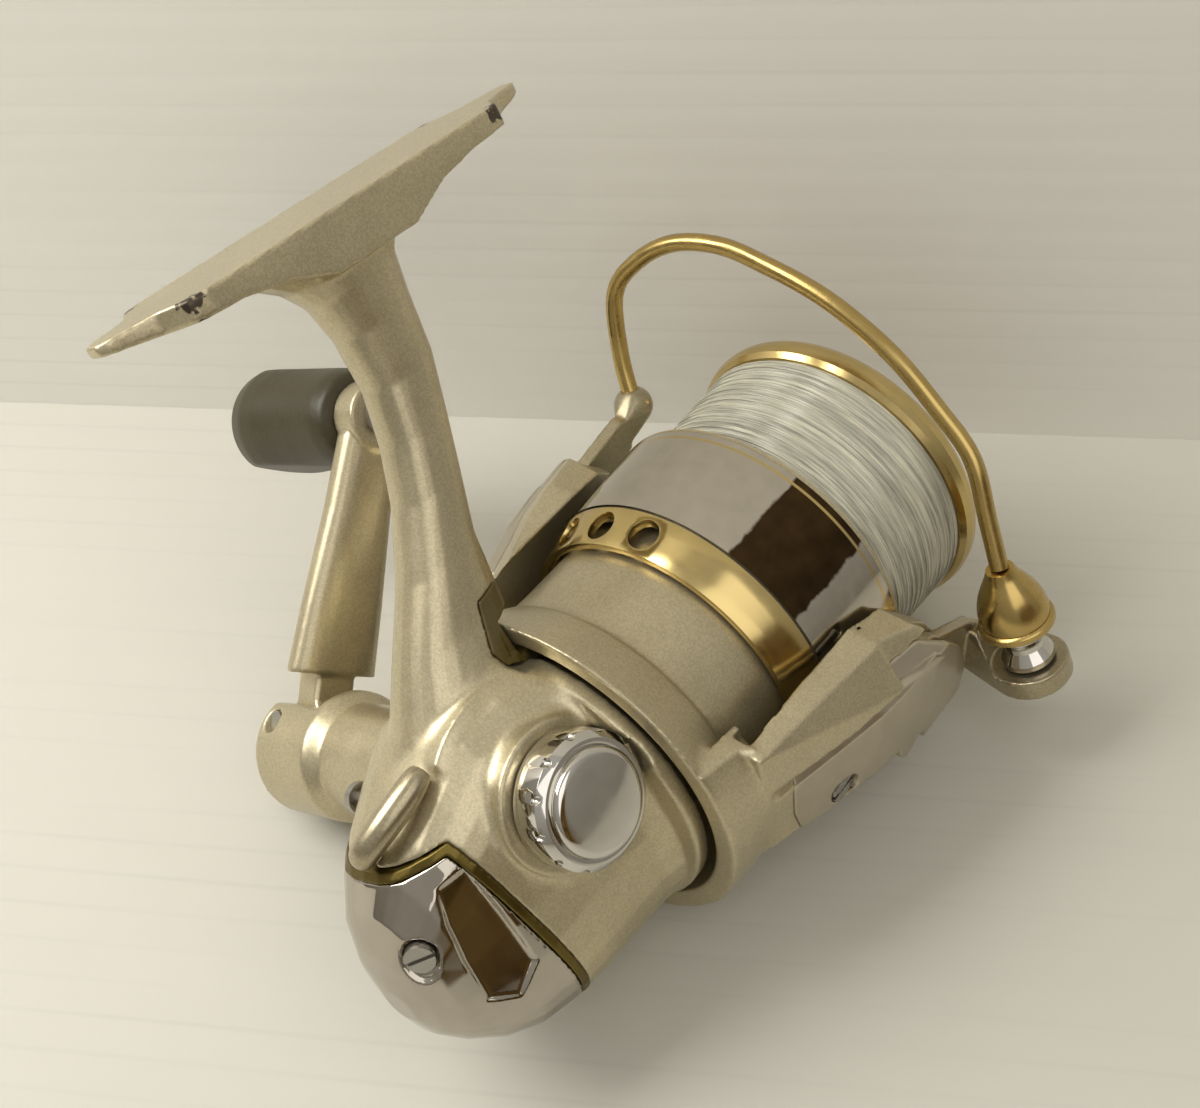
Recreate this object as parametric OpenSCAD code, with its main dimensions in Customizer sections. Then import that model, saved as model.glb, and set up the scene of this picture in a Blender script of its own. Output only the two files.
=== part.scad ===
// Front-drag spinning reel with its line spool.
// The reel hangs by its foot, whose seat is the plane z = 0 centred on the origin, and its front is +X.
// All pieces are drawn in the axis frame: X is the spool's axis, +Y is the handle's side, and the
// origin lies below the crank's axis. at_axis() sets that frame under the foot.

/* [Foot and stem] */
// Length of the foot over its two tips
foot_len = 64.6; // [60:0.2:70]
// Width of the foot's plate
foot_w = 16; // [14:0.5:18]
// Thickness of the foot at the ends of its plate
foot_t = 2.8; // [2.4:0.1:3.4]
// Thickness of the foot at its tips
tip_t = 1.2; // [0.8:0.1:1.8]
// Height from the spool's axis up to the foot's seat
axis_drop = 76; // [74:0.5:80]
// Distance from the crank's axis forward to the foot's middle
foot_ahead = 22.3; // [20:0.1:25]
// Tilt of the spool's axis against the foot, nose up, in degrees
axis_tilt = 5; // [2:0.5:7]

/* [Housing] */
// Half width of the gear housing
body_half_w = 13.3; // [13:0.1:15]
// Wall of the housing
wall = 1.6; // [1.2:0.1:2]
// Step from the rotor's rear rim in to the round front flange
flange_step = 4.2; // [3.8:0.1:4.6]
// Front face of the flange
flange_x = 10.5; // [10.3:0.1:10.8]
// Thickness of the chrome rear cover
cover_t = 1.2; // [0.8:0.1:1.4]
// Width of the trim line round the rear cover
trim_w = 1.1; // [0.6:0.1:1.4]
// Inner face of the side plate
split_y = 9; // [8.8:0.1:9.2]
// Radius of the boss round the crank's cap
boss_r = 9.5; // [9:0.1:10.5]

/* [Gear train] */
// Height of the crank's axis over the spool's axis
drive_z = 7.2; // [7:0.1:7.4]
// Teeth of the face gear
face_teeth = 40; // [40:8:48]
// Teeth of the pinion
pinion_teeth = 8; // [8:1:9]
// Where pinion and face gear meet, ahead of the crank's axis
mesh_x = 9.6; // [9.4:0.1:9.8]
// Width of the face gear's ring of teeth
face_w = 2.4; // [1.8:0.1:2.6]
// Tooth height over the pinion's pitch radius
addendum = 0.42; // [0.36:0.02:0.46]
// Radius of the main shaft
shaft_r = 1.5; // [1.3:0.05:1.6]
// Radius of the crank axle in its bearings
axle_r = 3.5; // [3.3:0.05:3.6]
// Side of the square handle rod
rod_side = 4; // [3.6:0.1:4.2]
// Module of the two spur gears that drive the stroke
spur_module = 0.6; // [0.58:0.01:0.62]
// Teeth of the stroke's driving gear
spur_teeth = 15; // [14:1:16]
// Teeth of the oscillating gear
osc_teeth = 33; // [31:1:34]
// Travel of the spool to each side of its middle
stroke = 8; // [6:0.5:8]

/* [Bearings] */
// Outer radius of the crank's two ball bearings
axle_bearing_r = 5.5; // [5.2:0.1:5.8]
// Width of the crank's ball bearings
axle_bearing_w = 3; // [2.5:0.1:3.2]
// Outer radius of the pinion's front ball bearing
pinion_bearing_r = 6.5; // [6.2:0.1:6.8]
// Width of the pinion's front ball bearing
pinion_bearing_w = 4; // [3.5:0.1:4]
// Radius of the pinion's shank
shank_r = 3.5; // [3.45:0.05:3.6]
// Outer radius of the one-way clutch
clutch_r = 13; // [12.5:0.1:13.4]

/* [Rotor] */
// Gap between the rotor's cup and the inside of the skirt
cup_gap = 0.6; // [0.5:0.1:0.9]
// Wall of the rotor's cup
cup_wall = 2; // [1.5:0.1:2.2]
// Front rim of the rotor's cup
cup_x = 41.5; // [40:0.1:42]
// Step from the rotor's cup out to its rear rim
rim_step = 5.2; // [5:0.1:5.6]
// Gap between the skirt's front rim and the arms' inner faces
arm_gap = 1.2; // [1:0.1:1.4]
// Thickness of the arms under the bail
arm_floor = 2.3; // [2:0.1:2.4]
// Room over the bail's pivots, under the arm covers
cover_room = 1.15; // [1.1:0.05:1.6]
// Half width of the arms
arm_half_w = 11.6; // [11:0.1:12]
// Turn of the near arm about the spool's axis, from the handle's side, in degrees
arm_turn = -150; // [-155:1:-145]
// Bail pivot ahead of the crank's axis
bail_x = 46; // [45.5:0.1:46.5]
// Thickness of the arm covers
plate_t = 1.2; // [1:0.1:1.3]
// Thickness of the bail's arm and lever where they turn
bail_t = 1.9; // [1.6:0.1:1.9]
// Radius of the bail's pivot screws
pivot_r = 2; // [1.6:0.1:2.4]
// Radius of the bail wire
wire_r = 1.25; // [1:0.05:1.4]
// Radius of the bullet cone's base
cone_r = 5.2; // [4.6:0.1:5.6]
// Length of the bullet cone
cone_len = 9.5; // [9:0.1:10]
// Radius of the line roller
roller_r = 3.6; // [3.2:0.1:4]

/* [Spool] */
// Radius of the skirt's front rim
skirt_r = 23.2; // [23:0.1:23.6]
// Thickness of the skirt from its rim in to its bore
skirt_wall = 3.1; // [2.9:0.1:3.2]
// Outer radius of the gilt lip
lip_r = 22.4; // [22:0.1:22.8]
// Radius of the bare drum
drum_r = 18; // [17.4:0.1:18.6]
// Radius of the wound line at the drum's rear end
wound_rear_r = 20.7; // [19.8:0.1:21]
// Radius of the wound line at the drum's front end
wound_front_r = 21.3; // [20.4:0.1:21.5]
// Rear edge of the spool's skirt
skirt_x = 29.6; // [29.4:0.1:30]
// Width of the gilt ring on the skirt's rear edge
ring_w = 5.6; // [5:0.1:6]
// Radius of the holes in the skirt ring
ring_hole_r = 2.1; // [1.6:0.1:2.3]
// Rear end of the drum
drum_x = 51.3; // [51.2:0.1:51.6]
// Length of the drum
drum_len = 18.4; // [18:0.1:18.8]
// Diameter of the line
line_d = 0.21; // [0.16:0.01:0.26]
// Turns in the outer layer of line
line_turns = 24; // [16:1:24]
// Radius of the drag knob
knob_r = 11; // [10.5:0.1:11.4]
// Radius of the drag washers
washer_r = 9.2; // [8.8:0.1:9.3]

/* [Handle] */
// Crank radius from the crank's axis to the knob's axis
crank_r = 47; // [45:0.5:48]
// Direction of the handle arm, up from straight ahead, in degrees
crank_turn = 45; // [0:1:90]
// Distance from the mid-plane to the handle's fold pin
fold_y = 41; // [40:0.5:43]
// Radius of the handle's collar
collar_r = 7.5; // [7:0.1:8]
// Thickness of the handle arm
arm_t = 5.4; // [4.6:0.1:5.8]
// Radius of the knob's shaft
knob_shaft_r = 2; // [1.6:0.1:2.4]
// Length of the knob
grip_len = 26; // [23:0.5:28]
// Largest radius of the knob
grip_r = 8.6; // [7.6:0.1:9]
// Thickness of the knob across its flats
grip_flat = 14.2; // [12:0.1:15]

/* [Fits] */
// Radial clearance of a running or sliding fit
run_gap = 0.05; // [0.03:0.01:0.08]
// Gap between faces that pass each other
face_gap = 0.3; // [0.2:0.05:0.35]
// Gap between pieces fixed to each other
seat_gap = 0.03; // [0.01:0.01:0.05]

/* [Hidden] */
$fn = 48;
// Radii from the skirt inward.
skirt_in_r = skirt_r - skirt_wall;
cup_r = skirt_in_r - cup_gap;
rim_r = cup_r + rim_step;
flange_r = rim_r - flange_step;
// Radii from the skirt outward, through the arm, the bail's end and the cover.
arm_in_r = skirt_r + arm_gap;
floor_d = arm_in_r + arm_floor;
bail_d0 = floor_d + 0.25;
bail_d1 = bail_d0 + bail_t;
arm_out_r = bail_d1 + cover_room + plate_t;

champagne = "#b2a88c";
dark_champagne = "#9c9277";
gilt = "#b08d3a";
chrome = "#c9c7c2";
steel = "#a8a8a8";
brass = "#b89a4e";
olive = "#6e6132";
rubber = "#4a4230";
felt = "#d8d2c0";
line_grey = "#c9c8bd";

// ---- frames ----

// The axis frame, hung under the foot.
module at_axis() {
    rotate([0, -axis_tilt, 0])
        translate([-foot_ahead, 0, -axis_drop])
            children();
}

// The near and far arm's own frame: X along the spool's axis, Y across the arm, Z outward.
module at_arm(turn) {
    at_axis()
        rotate([turn - 90, 0, 0])
            children();
}

// The crank's frame: X along the handle arm, Y along the crank's axis.
module at_crank() {
    at_axis()
        translate([0, 0, drive_z])
            rotate([0, -crank_turn, 0])
                children();
}

// ---- solids along an axis ----

module rod_x(x0, x1, r) {
    translate([x0, 0, 0])
        rotate([0, 90, 0])
            cylinder(h = x1 - x0, r = r);
}

module rod_y(y0, y1, r, x = 0, z = 0) {
    translate([x, y0, z])
        rotate([-90, 0, 0])
            cylinder(h = y1 - y0, r = r);
}

module tube_x(x0, x1, r_in, r_out) {
    difference() {
        rod_x(x0, x1, r_out);
        rod_x(x0 - 1, x1 + 1, r_in);
    }
}

module tube_y(y0, y1, r_in, r_out, x = 0, z = 0) {
    difference() {
        rod_y(y0, y1, r_out, x, z);
        rod_y(y0 - 1, y1 + 1, r_in, x, z);
    }
}

// A profile of [radius, x] points turned about the X axis.
module turned_x(points) {
    rotate([0, 90, 0])
        rotate_extrude()
            polygon(points);
}

// A profile of [x, z] points carried from y0 to y1.
module slab_y(y0, y1, points) {
    translate([0, y1, 0])
        rotate([90, 0, 0])
            linear_extrude(y1 - y0)
                polygon(points);
}

module block(low, high) {
    translate(low)
        cube(high - low);
}

// ---- lofts ----

function power(v, n) = sign(v) * pow(abs(v), 2 / n);

// One ring of a loft along X: middle z, half width, half height, fullness.
function ring_x(x, zc, hw, hh, n, count = 32) = [
    for (i = [0 : count - 1])
        let (a = 360 * i / count)
        [x, hw * power(cos(a), n), zc + hh * power(sin(a), n)]
];

function ring_z(z, xc, hx, hy, n, count = 24) = [
    for (i = [0 : count - 1])
        let (a = 360 * i / count)
        [xc + hx * power(cos(a), n), hy * power(sin(a), n), z]
];

// A closed skin over rings of equal counts, in order along their axis.
module loft(rings) {
    n = len(rings[0]);
    m = len(rings);
    polyhedron(
        points = [for (ring = rings) each ring],
        faces = [
            [for (i = [0 : n - 1]) i],
            for (j = [0 : m - 2], i = [0 : n - 1])
                [j * n + i, (j + 1) * n + i, (j + 1) * n + (i + 1) % n],
            for (j = [0 : m - 2], i = [0 : n - 1])
                [j * n + i, (j + 1) * n + (i + 1) % n, j * n + (i + 1) % n],
            [for (i = [n - 1 : -1 : 0]) (m - 1) * n + i]
        ]
    );
}

// ---- sweeps ----

function unit(v) = v / norm(v);

// Round rings of radius r along a path, each square to it, with one steady side direction.
function swept(path, r, sides) = [
    for (i = [0 : len(path) - 1])
        let (
            t = unit(path[min(i + 1, len(path) - 1)] - path[max(i - 1, 0)]),
            side = unit(cross(t, abs(t[0]) > 0.95 ? [0, 0, 1] : [1, 0, 0])),
            up = cross(side, t)
        )
        [for (k = [0 : sides - 1])
            let (a = -360 * k / sides)
            path[i] + r * (cos(a) * side + sin(a) * up)]
];

// A smooth curve through hand-set points, with the given steps between neighbours.
function through(p, steps) = [
    for (i = [0 : len(p) - 2], k = [0 : steps - 1])
        let (
            t = k / steps,
            a = p[max(i - 1, 0)],
            b = p[i],
            c = p[i + 1],
            d = p[min(i + 2, len(p) - 1)]
        )
        0.5 * (2 * b + (c - a) * t + (2 * a - 5 * b + 4 * c - d) * t * t
            + (3 * b - a - 3 * c + d) * t * t * t),
    p[len(p) - 1]
];

// A wire coil about the X axis, from x0 on.
function coil_path(x0, pitch, turns, r, per_turn) = [
    for (i = [0 : turns * per_turn])
        let (a = 360 * i / per_turn)
        [x0 + pitch * i / per_turn, r * cos(a), r * sin(a)]
];

// ---- gear teeth ----

function involute(a) = tan(a) * 180 / PI - a;

// Half the angle of a spur tooth at one radius, for a pressure angle of 20 degrees.
function half_tooth(teeth, m, radius) =
    let (
        pitch_r = teeth * m / 2,
        base_r = pitch_r * cos(20),
        a = acos(min(1, base_r / max(radius, base_r)))
    )
    tooth_share * 180 / teeth + involute(20) - involute(a);

function spur_points(teeth, m) =
    let (
        pitch_r = teeth * m / 2,
        root_r = pitch_r - 1.2 * m,
        tip_r = pitch_r + 0.85 * m,
        radii = [root_r, pitch_r - 0.4 * m, pitch_r, pitch_r + 0.45 * m, tip_r]
    )
    [for (k = [0 : teeth - 1]) each concat(
        [for (q = radii) q * [cos(360 * k / teeth - half_tooth(teeth, m, q)),
                              sin(360 * k / teeth - half_tooth(teeth, m, q))]],
        [for (i = [len(radii) - 1 : -1 : 0])
            let (q = radii[i])
            q * [cos(360 * k / teeth + half_tooth(teeth, m, q)),
                 sin(360 * k / teeth + half_tooth(teeth, m, q))]]
    )];

// ---- derived: housing ----

// Rear cover's joint: a slanted plane in front, a level edge above.
joint_lean = 0.164;
joint_x = -12.8;
cover_top = 11.2;
function joint_at(z) = joint_x - joint_lean * z;

// Housing sections from the rear: x, top, bottom, half width, fullness.
housing_sections = [
    [-26.6, -1.5, -6, 2.5, 2.2],
    [-25.6, 4, -9.5, 5.5, 2.4],
    [-23.5, 8.5, -12.5, 7.8, 2.6],
    [-20, 12.3, -15.8, 9.6, 2.8],
    [-16, 15, -17.9, 11, 3],
    [-11, 18, -19, body_half_w - 1.1, 3],
    [-5, 21.2, -19.5, body_half_w - 0.3, 3],
    [2, 22.3, -19.7, body_half_w, 3],
    [6, 22, -20, body_half_w + 1, 2.7],
    [8, 21.2, -20.2, body_half_w + 3, 2.4],
    [9.4, flange_r, -flange_r, flange_r - 0.6, 2]
];

// The housing's outer form, drawn in by an even inset.
module housing_form(inset) {
    loft([for (s = housing_sections)
        ring_x(
            s[0] + inset * max(0, -s[0] - 14) / 12.6, (s[1] + s[2]) / 2,
            s[3] - inset, (s[1] - s[2]) / 2 - inset, s[4]
        )]);
}

// Everything behind the rear cover's joint, grown by g.
module rear_zone(g) {
    far_z = -30;
    slab_y(-20, 20, [
        [-40, far_z],
        [joint_at(far_z) + g, far_z],
        [joint_at(cover_top) + g, cover_top + g],
        [-40, cover_top + g]
    ]);
}

// Stem sections from the housing up: z, middle x, half length, half width.
stem_sections = [
    [12, 0, 13.4, 10],
    [16, 1.2, 12.2, 8.4],
    [21, 3.2, 10, 6.5],
    [27, 6.2, 8.2, 5.2],
    [34.6, 10.3, 5.6, 4.5],
    [42, 14.4, 4.7, 4.1],
    [48.5, 17.3, 4.5, 4],
    [55, 19.6, 4.8, 4],
    [62, 20.6, 5.3, 4.2],
    [67, 20.9, 6.3, 4.7],
    [70, 21.3, 8.5, 5.3],
    [72.4, 22, 12, 6.2]
];

module stem_form(grow = 0) {
    loft([for (s = stem_sections) ring_z(s[0], s[1], s[2] + grow, s[3] + grow, 2.5)]);
}

plate_half = foot_len / 2 - 8.6;
tip_root = foot_len / 2 - 6.6;
tip_half_w = 2.7;
stem_depth = 6.5;

// The foot's plate with its two narrow tips, flat on top, in the foot's own frame.
module foot_form() {
    intersection() {
        translate([0, 0, -10])
            linear_extrude(10)
                polygon([for (m = [1, -1]) each [
                    [m * (foot_len / 2 - 1.2), -m * (tip_half_w - 0.6)],
                    [m * foot_len / 2, -m * 1.2],
                    [m * foot_len / 2, m * 1.2],
                    [m * (foot_len / 2 - 1.2), m * (tip_half_w - 0.6)],
                    [m * (foot_len / 2 - 4), m * tip_half_w],
                    [m * tip_root, m * (tip_half_w + 1.2)],
                    [m * plate_half, m * (foot_w / 2 - 0.6)],
                    [m * (plate_half - 2.4), m * foot_w / 2],
                    [-m * (plate_half - 2.4), m * foot_w / 2],
                    [-m * plate_half, m * (foot_w / 2 - 0.6)],
                    [-m * tip_root, m * (tip_half_w + 1.2)],
                    [-m * (foot_len / 2 - 4), m * tip_half_w]
                ]]);
        slab_y(-foot_w, foot_w, [
            [-foot_len, 0], [foot_len, 0],
            [foot_len / 2 + 1, -tip_t], [plate_half + 1.6, -foot_t + 0.2], [plate_half - 6, -foot_t - 0.2],
            [12, -foot_t - 1.2], [6, -stem_depth], [-6, -stem_depth], [-11, -foot_t - 1.6],
            [-plate_half + 6, -foot_t - 0.2], [-plate_half - 1.6, -foot_t + 0.2],
            [-foot_len / 2 - 1, -tip_t]
        ]);
    }
}

// ---- derived: gear train ----

face_r = norm([mesh_x, drive_z]);
face_in_r = face_r - face_w / 2;
face_out_r = face_r + face_w / 2;
pinion_r = pow(face_r, 2) * pinion_teeth / (mesh_x * face_teeth);
pinion_tip_r = pinion_r + addendum;
tooth_clear = 0.25;
pinion_root_r = pinion_r - addendum - tooth_clear;
helix_rate = (drive_z / mesh_x) / pinion_r * 180 / PI;
mesh_angle = atan2(-drive_z, mesh_x);
face_tip_y = -(pinion_r - addendum);
face_root_y = -(pinion_r + addendum + tooth_clear);
face_pitch = 2 * PI * face_r / face_teeth;
tooth_share = 0.42;
pinion_tooth_x0 = mesh_x - 2.3;
pinion_tooth_x1 = mesh_x + 2.6;
face_back_y = -6.9;
face_web_y = -5.2;

spur_y0 = 4.6;
spur_y1 = 7.1;
osc_centre = spur_module * (spur_teeth + osc_teeth) / 2;
osc_z = -6;
osc_x = -sqrt(pow(osc_centre, 2) - pow(drive_z - osc_z, 2));
osc_angle = atan2(osc_z - drive_z, osc_x);
osc_tip_r = spur_module * (osc_teeth / 2 + 0.85);
pin_r = 1.2;
pin_y = 3.9;

slider_y0 = 1.6;
slider_y1 = 3.6;
slider_wall = 1.2;
guide_z = -12.5;
guide_r = 1;
hub_x0 = -14;
hub_x1 = -9.5;
slider_top = 2.8;

bearing_y0 = split_y + 0.5;
bearing_y1 = bearing_y0 + axle_bearing_w;
boss_y = -13.6;
plate_boss_y = 15;

front_bearing_x0 = 14.6;
front_bearing_x1 = front_bearing_x0 + pinion_bearing_w;
neck_x = 19;
retainer_t = 0.8;
clutch_x1 = 24.4;
web_x0 = 25;
web_x1 = 28;
sleeve_r = 6;
seat_r = 3;
thread_r = 2.8;

bush_r = 2.9;
journal_r = 2;
bush_x0 = 5.5;
bush_x1 = 7.1;
lever_y = -0.9;
lever_z = 13.9;
lever_rod_r = 1.2;

axle_post_r = 2.6;
screw_posts = [[4.2, -15.6], [-10.8, 13.2], [3.4, 17]];
post_y = 4.4;
post_r = 2.2;
screw_r = 1;

// ---- housing pieces ----

module face_gear_sweep(g) {
    rod_y(face_back_y - g, face_tip_y + g, face_out_r + g, 0, drive_z);
}

module insert_zone(g) {
    slab_y(-9.5 - g, -3.4 + g, [
        [6.4 - g, 23 - g], [7.4 - g, 19.4 - g], [12, 18.6 - g], [16, 28.6 + g], [9.2 - g, 28.6 + g]
    ]);
}

rotor_sweep_x = 9.7;
module rotor_sweep() {
    tube_x(rotor_sweep_x, 21, flange_r + 0.05, rim_r + 0.9);
}

module body() {
    color(champagne)
        difference() {
            union() {
                foot_form();
                at_axis()
                    housing_solid();
            }
            at_axis()
                housing_cuts();
        }
}

module housing_solid() {
    difference() {
        union() {
            housing_form(0);
            stem_form();
        }
        rear_zone(trim_w + seat_gap);
    }
    intersection() {
        housing_form(cover_t + seat_gap);
        rear_zone(trim_w + 1);
    }
    rod_x(flange_x - 2.2, flange_x, flange_r);
    turned_x([[0, 5], [18.6, 9], [18.6, flange_x], [17.6, 12], [14.5, 15], [14.5, neck_x], [0, neck_x]]);
    rod_y(boss_y, -8, boss_r, 0, drive_z);
    // Low swelling over the face gear, clear of the lever's tab.
    intersection() {
        translate([0, 0, drive_z])
            rotate([0, 0, 90])
                turned_x([
                    [0, face_back_y - 1.4], [face_out_r - 0.4, face_back_y - 1.4],
                    [face_out_r + 1.3, face_back_y - 0.3], [face_out_r + 1.3, 0], [0, 0]
                ]);
        block([-8.6, -20, 0], [20, 0, 30]);
    }
}

module housing_cuts() {
    rotor_sweep();
    rod_y(-30, boss_y, cap_r + 0.5, 0, drive_z);
    insert_zone(seat_gap);
    // Gear room, open on the handle's side.
    difference() {
        union() {
            intersection() {
                housing_form(wall);
                block([-15, -20, -25], [8.6, split_y + 0.01, 17.2]);
            }
            intersection() {
                housing_form(cover_t + 1.2);
                block([-26, -20, -25], [-14.9, split_y + 0.01, 11]);
            }
        }
        // Boss of the crank's near bearing.
        rod_y(-20, -bearing_y0 + 0.5, axle_bearing_r + 1.8, 0, drive_z);
        // Posts of the side plate's screws.
        for (p = screw_posts)
            rod_y(post_y, split_y, post_r, p[0], p[1]);
        // Rib that holds the pinion's rear bush and the guide rod.
        block([bush_x0, -4.2, -25], [bush_x1, split_y, 1]);
        rod_x(bush_x0, bush_x1, bush_r + 1);
        // Rear boss of the guide rod.
        translate([0, 0, guide_z])
            rod_x(-26, -18.4, guide_r + 1);
    }
    // The side plate's seat.
    block([plate_x0 - seat_gap, split_y, -25], [plate_x1 + seat_gap, 20, 24]);
    face_gear_sweep(face_gap + 0.1);
    rod_y(spur_y0 - face_gap, spur_y1 + face_gap, osc_tip_r + face_gap, osc_x, osc_z);
    // Crank axle and its near bearing.
    rod_y(-bearing_y1, -8, axle_bearing_r + seat_gap, 0, drive_z);
    rod_y(-20, 0, axle_r + 0.5, 0, drive_z);
    // Pinion, its bush, front bearing and clutch seat.
    rod_x(bush_x0 - 1, bush_x1 + 1, bush_r + seat_gap);
    rod_x(bush_x1 + 0.2, front_bearing_x0 + 1, pinion_tip_r + 0.5);
    rod_x(front_bearing_x0, neck_x + 1, pinion_bearing_r + seat_gap);
    // Guide rod, lever rod and screws.
    translate([0, 0, guide_z])
        rod_x(-20, 7.2, guide_r + seat_gap);
    translate([0, lever_y, lever_z]) {
        rod_x(-25, 14, lever_rod_r + run_gap);
        rod_x(-25, -17.5, lever_radii[0] + 0.2);
    }
    for (p = screw_posts)
        rod_y(post_y + 0.5, 12, screw_r + seat_gap, p[0], p[1]);
    at_retainer_screws()
        rod_x(15.8, 20, screw_r + seat_gap);
    at_cover_screw() {
        rod_x(-4.4, 3, screw_r + seat_gap);
        rod_x(-4.4, 0.22, 2.1);
    }
    // Room for the slider's run.
    block(
        [osc_x - stroke - 3.2, slider_y0 - face_gap, osc_z - stroke - pin_r - 0.5],
        [bush_x0, slider_y1 + face_gap, 3.6]
    );
}

plate_x0 = -17.4;
plate_x1 = 6.8;

module side_plate() {
    color(champagne)
        at_axis()
            difference() {
                union() {
                    intersection() {
                        housing_form(0);
                        block([plate_x0, split_y, -25], [plate_x1, 20, 24]);
                    }
                    intersection() {
                        rod_y(split_y, plate_boss_y, boss_r - 0.5, 0, drive_z);
                        block([plate_x0, split_y, -25], [plate_x1, 20, 24]);
                    }
                    rod_y(spur_y1 + face_gap, split_y + 1, axle_post_r, osc_x, osc_z);
                }
                stem_form(seat_gap);
                rear_zone(trim_w + seat_gap);
                difference() {
                    intersection() {
                        housing_form(wall);
                        block([plate_x0 + 1.6, split_y - 1, -25], [plate_x1 - 1.4, 11.2, 24]);
                    }
                    rod_y(0, 20, axle_bearing_r + 1.8, 0, drive_z);
                    for (p = screw_posts)
                        rod_y(0, 20, post_r + 0.6, p[0], p[1]);
                    rod_y(0, 20, axle_post_r, osc_x, osc_z);
                }
                rod_y(0, split_y + 1.5, pin_r + seat_gap, osc_x, osc_z);
                rod_y(split_y - 1, bearing_y1, axle_bearing_r + seat_gap, 0, drive_z);
                rod_y(0, 20, axle_r + 0.5, 0, drive_z);
                for (p = screw_posts) {
                    rod_y(0, 20, screw_r + 0.1, p[0], p[1]);
                    rod_y(screw_seat_y, 20, post_r, p[0], p[1]);
                }
            }
}

screw_seat_y = 10.8;

// A countersunk-free pan screw along +Y: shank from y0 to the head's seat y1.
module pan_screw_y(y0, y1, x, z) {
    rod_y(y0, y1 + 0.01, screw_r, x, z);
    difference() {
        rod_y(y1, y1 + 1.1, post_r - 0.15, x, z);
        block([x - 2, y1 + 0.6, z - 0.25], [x + 2, y1 + 2, z + 0.25]);
    }
}

module side_plate_screws() {
    color(steel)
        at_axis()
            for (p = screw_posts)
                pan_screw_y(post_y + 0.7, screw_seat_y + 0.01, p[0], p[1]);
}

// The rear cover's screw axis: local -X points out of the housing.
module at_cover_screw() {
    translate([-22.9, -6.4, 3.1])
        rotate([0, 0, 41])
            children();
}

module rear_cover() {
    color(chrome)
        at_axis()
            difference() {
                intersection() {
                    housing_form(0);
                    rear_zone(0);
                }
                housing_form(cover_t);
                at_cover_screw()
                    rod_x(-6, 3, 2.1);
            }
}

module rear_cover_trim() {
    color(olive)
        at_axis()
            difference() {
                intersection() {
                    housing_form(-0.12);
                    rear_zone(trim_w);
                }
                rear_zone(seat_gap);
                housing_form(cover_t);
            }
}

module rear_cover_screw() {
    color(steel)
        at_axis()
            at_cover_screw()
                difference() {
                    union() {
                        rod_x(-1.2, 2.8, screw_r);
                        rod_x(-1.2, 0.2, 1.9);
                    }
                    block([-2, -2, -0.25], [-0.7, 2, 0.25]);
                }
}

module trip_insert() {
    color(olive)
        at_axis()
            difference() {
                intersection() {
                    stem_form(0.1);
                    insert_zone(0);
                }
                rotor_sweep();
                housing_form(seat_gap);
                slab_y(-12, -5.4, [[8.2, 21], [10.4, 20.6], [12.4, 27], [9.6, 27]]);
            }
}

// Thumb tab over the housing's rear, on a rod that runs forward to the clutch.
lever_points = [
    [-19.3, lever_y, lever_z], [-19.9, -3, 15.6], [-17.6, -4.9, 17.1],
    [-14, -6.1, 18.4], [-11.2, -6.5, 19.2], [-9.9, -6.5, 19.5]
];
lever_radii = [1.3, 1.5, 1.6, 1.8, 1.7, 1.4];
module anti_reverse_lever() {
    color(dark_champagne)
        at_axis() {
            translate([0, lever_y, lever_z])
                rod_x(-19.5, 13.6, lever_rod_r);
            for (i = [0 : len(lever_points) - 2])
                hull() {
                    translate(lever_points[i])
                        sphere(r = lever_radii[i], $fn = 20);
                    translate(lever_points[i + 1])
                        sphere(r = lever_radii[i + 1], $fn = 20);
                }
        }
}

// ---- bearings and clutch ----

// A shielded ball bearing about the X axis: two races with a recessed shield between.
module bearing_x(x0, w, r_in, r_out) {
    race = (r_out - r_in) * 0.28;
    turned_x([
        [r_in, x0], [r_in + race, x0], [r_in + race, x0 + 0.3], [r_out - race, x0 + 0.3],
        [r_out - race, x0], [r_out, x0], [r_out, x0 + w], [r_out - race, x0 + w],
        [r_out - race, x0 + w - 0.3], [r_in + race, x0 + w - 0.3], [r_in + race, x0 + w], [r_in, x0 + w]
    ]);
}

module drive_bearings() {
    color(steel)
        at_axis()
            for (y = [bearing_y0, -bearing_y1])
                translate([0, y, drive_z])
                    rotate([0, 0, 90])
                        bearing_x(0, axle_bearing_w, axle_r + run_gap, axle_bearing_r);
}

module pinion_bearing() {
    color(steel)
        at_axis()
            bearing_x(front_bearing_x0, pinion_bearing_w, shank_r + run_gap, pinion_bearing_r);
}

module pinion_bush() {
    color(brass)
        at_axis()
            difference() {
                tube_x(bush_x0, bush_x1, journal_r + run_gap, bush_r);
                face_gear_sweep(face_gap + 0.1);
            }
}

retainer_screw_r = 8.4;
module at_retainer_screws() {
    for (a = [60, 180, 300])
        rotate([a, 0, 0])
            translate([0, retainer_screw_r, 0])
                children();
}

module bearing_retainer() {
    color(steel)
        at_axis()
            difference() {
                union() {
                    tube_x(neck_x, neck_x + retainer_t, 4.6, 10.4);
                    tube_x(front_bearing_x1 + 0.02, neck_x + 0.1, 5.2, pinion_bearing_r - 0.1);
                }
                at_retainer_screws()
                    rod_x(neck_x - 1, neck_x + 2, screw_r + 0.1);
            }
}

module retainer_screws() {
    color(steel)
        at_axis()
            at_retainer_screws() {
                rod_x(16.2, neck_x + retainer_t, screw_r);
                difference() {
                    rod_x(neck_x + retainer_t, neck_x + retainer_t + 0.8, 1.7);
                    block([neck_x + retainer_t + 0.4, -3, -0.2], [neck_x + 3, 3, 0.2]);
                }
            }
}

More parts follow.
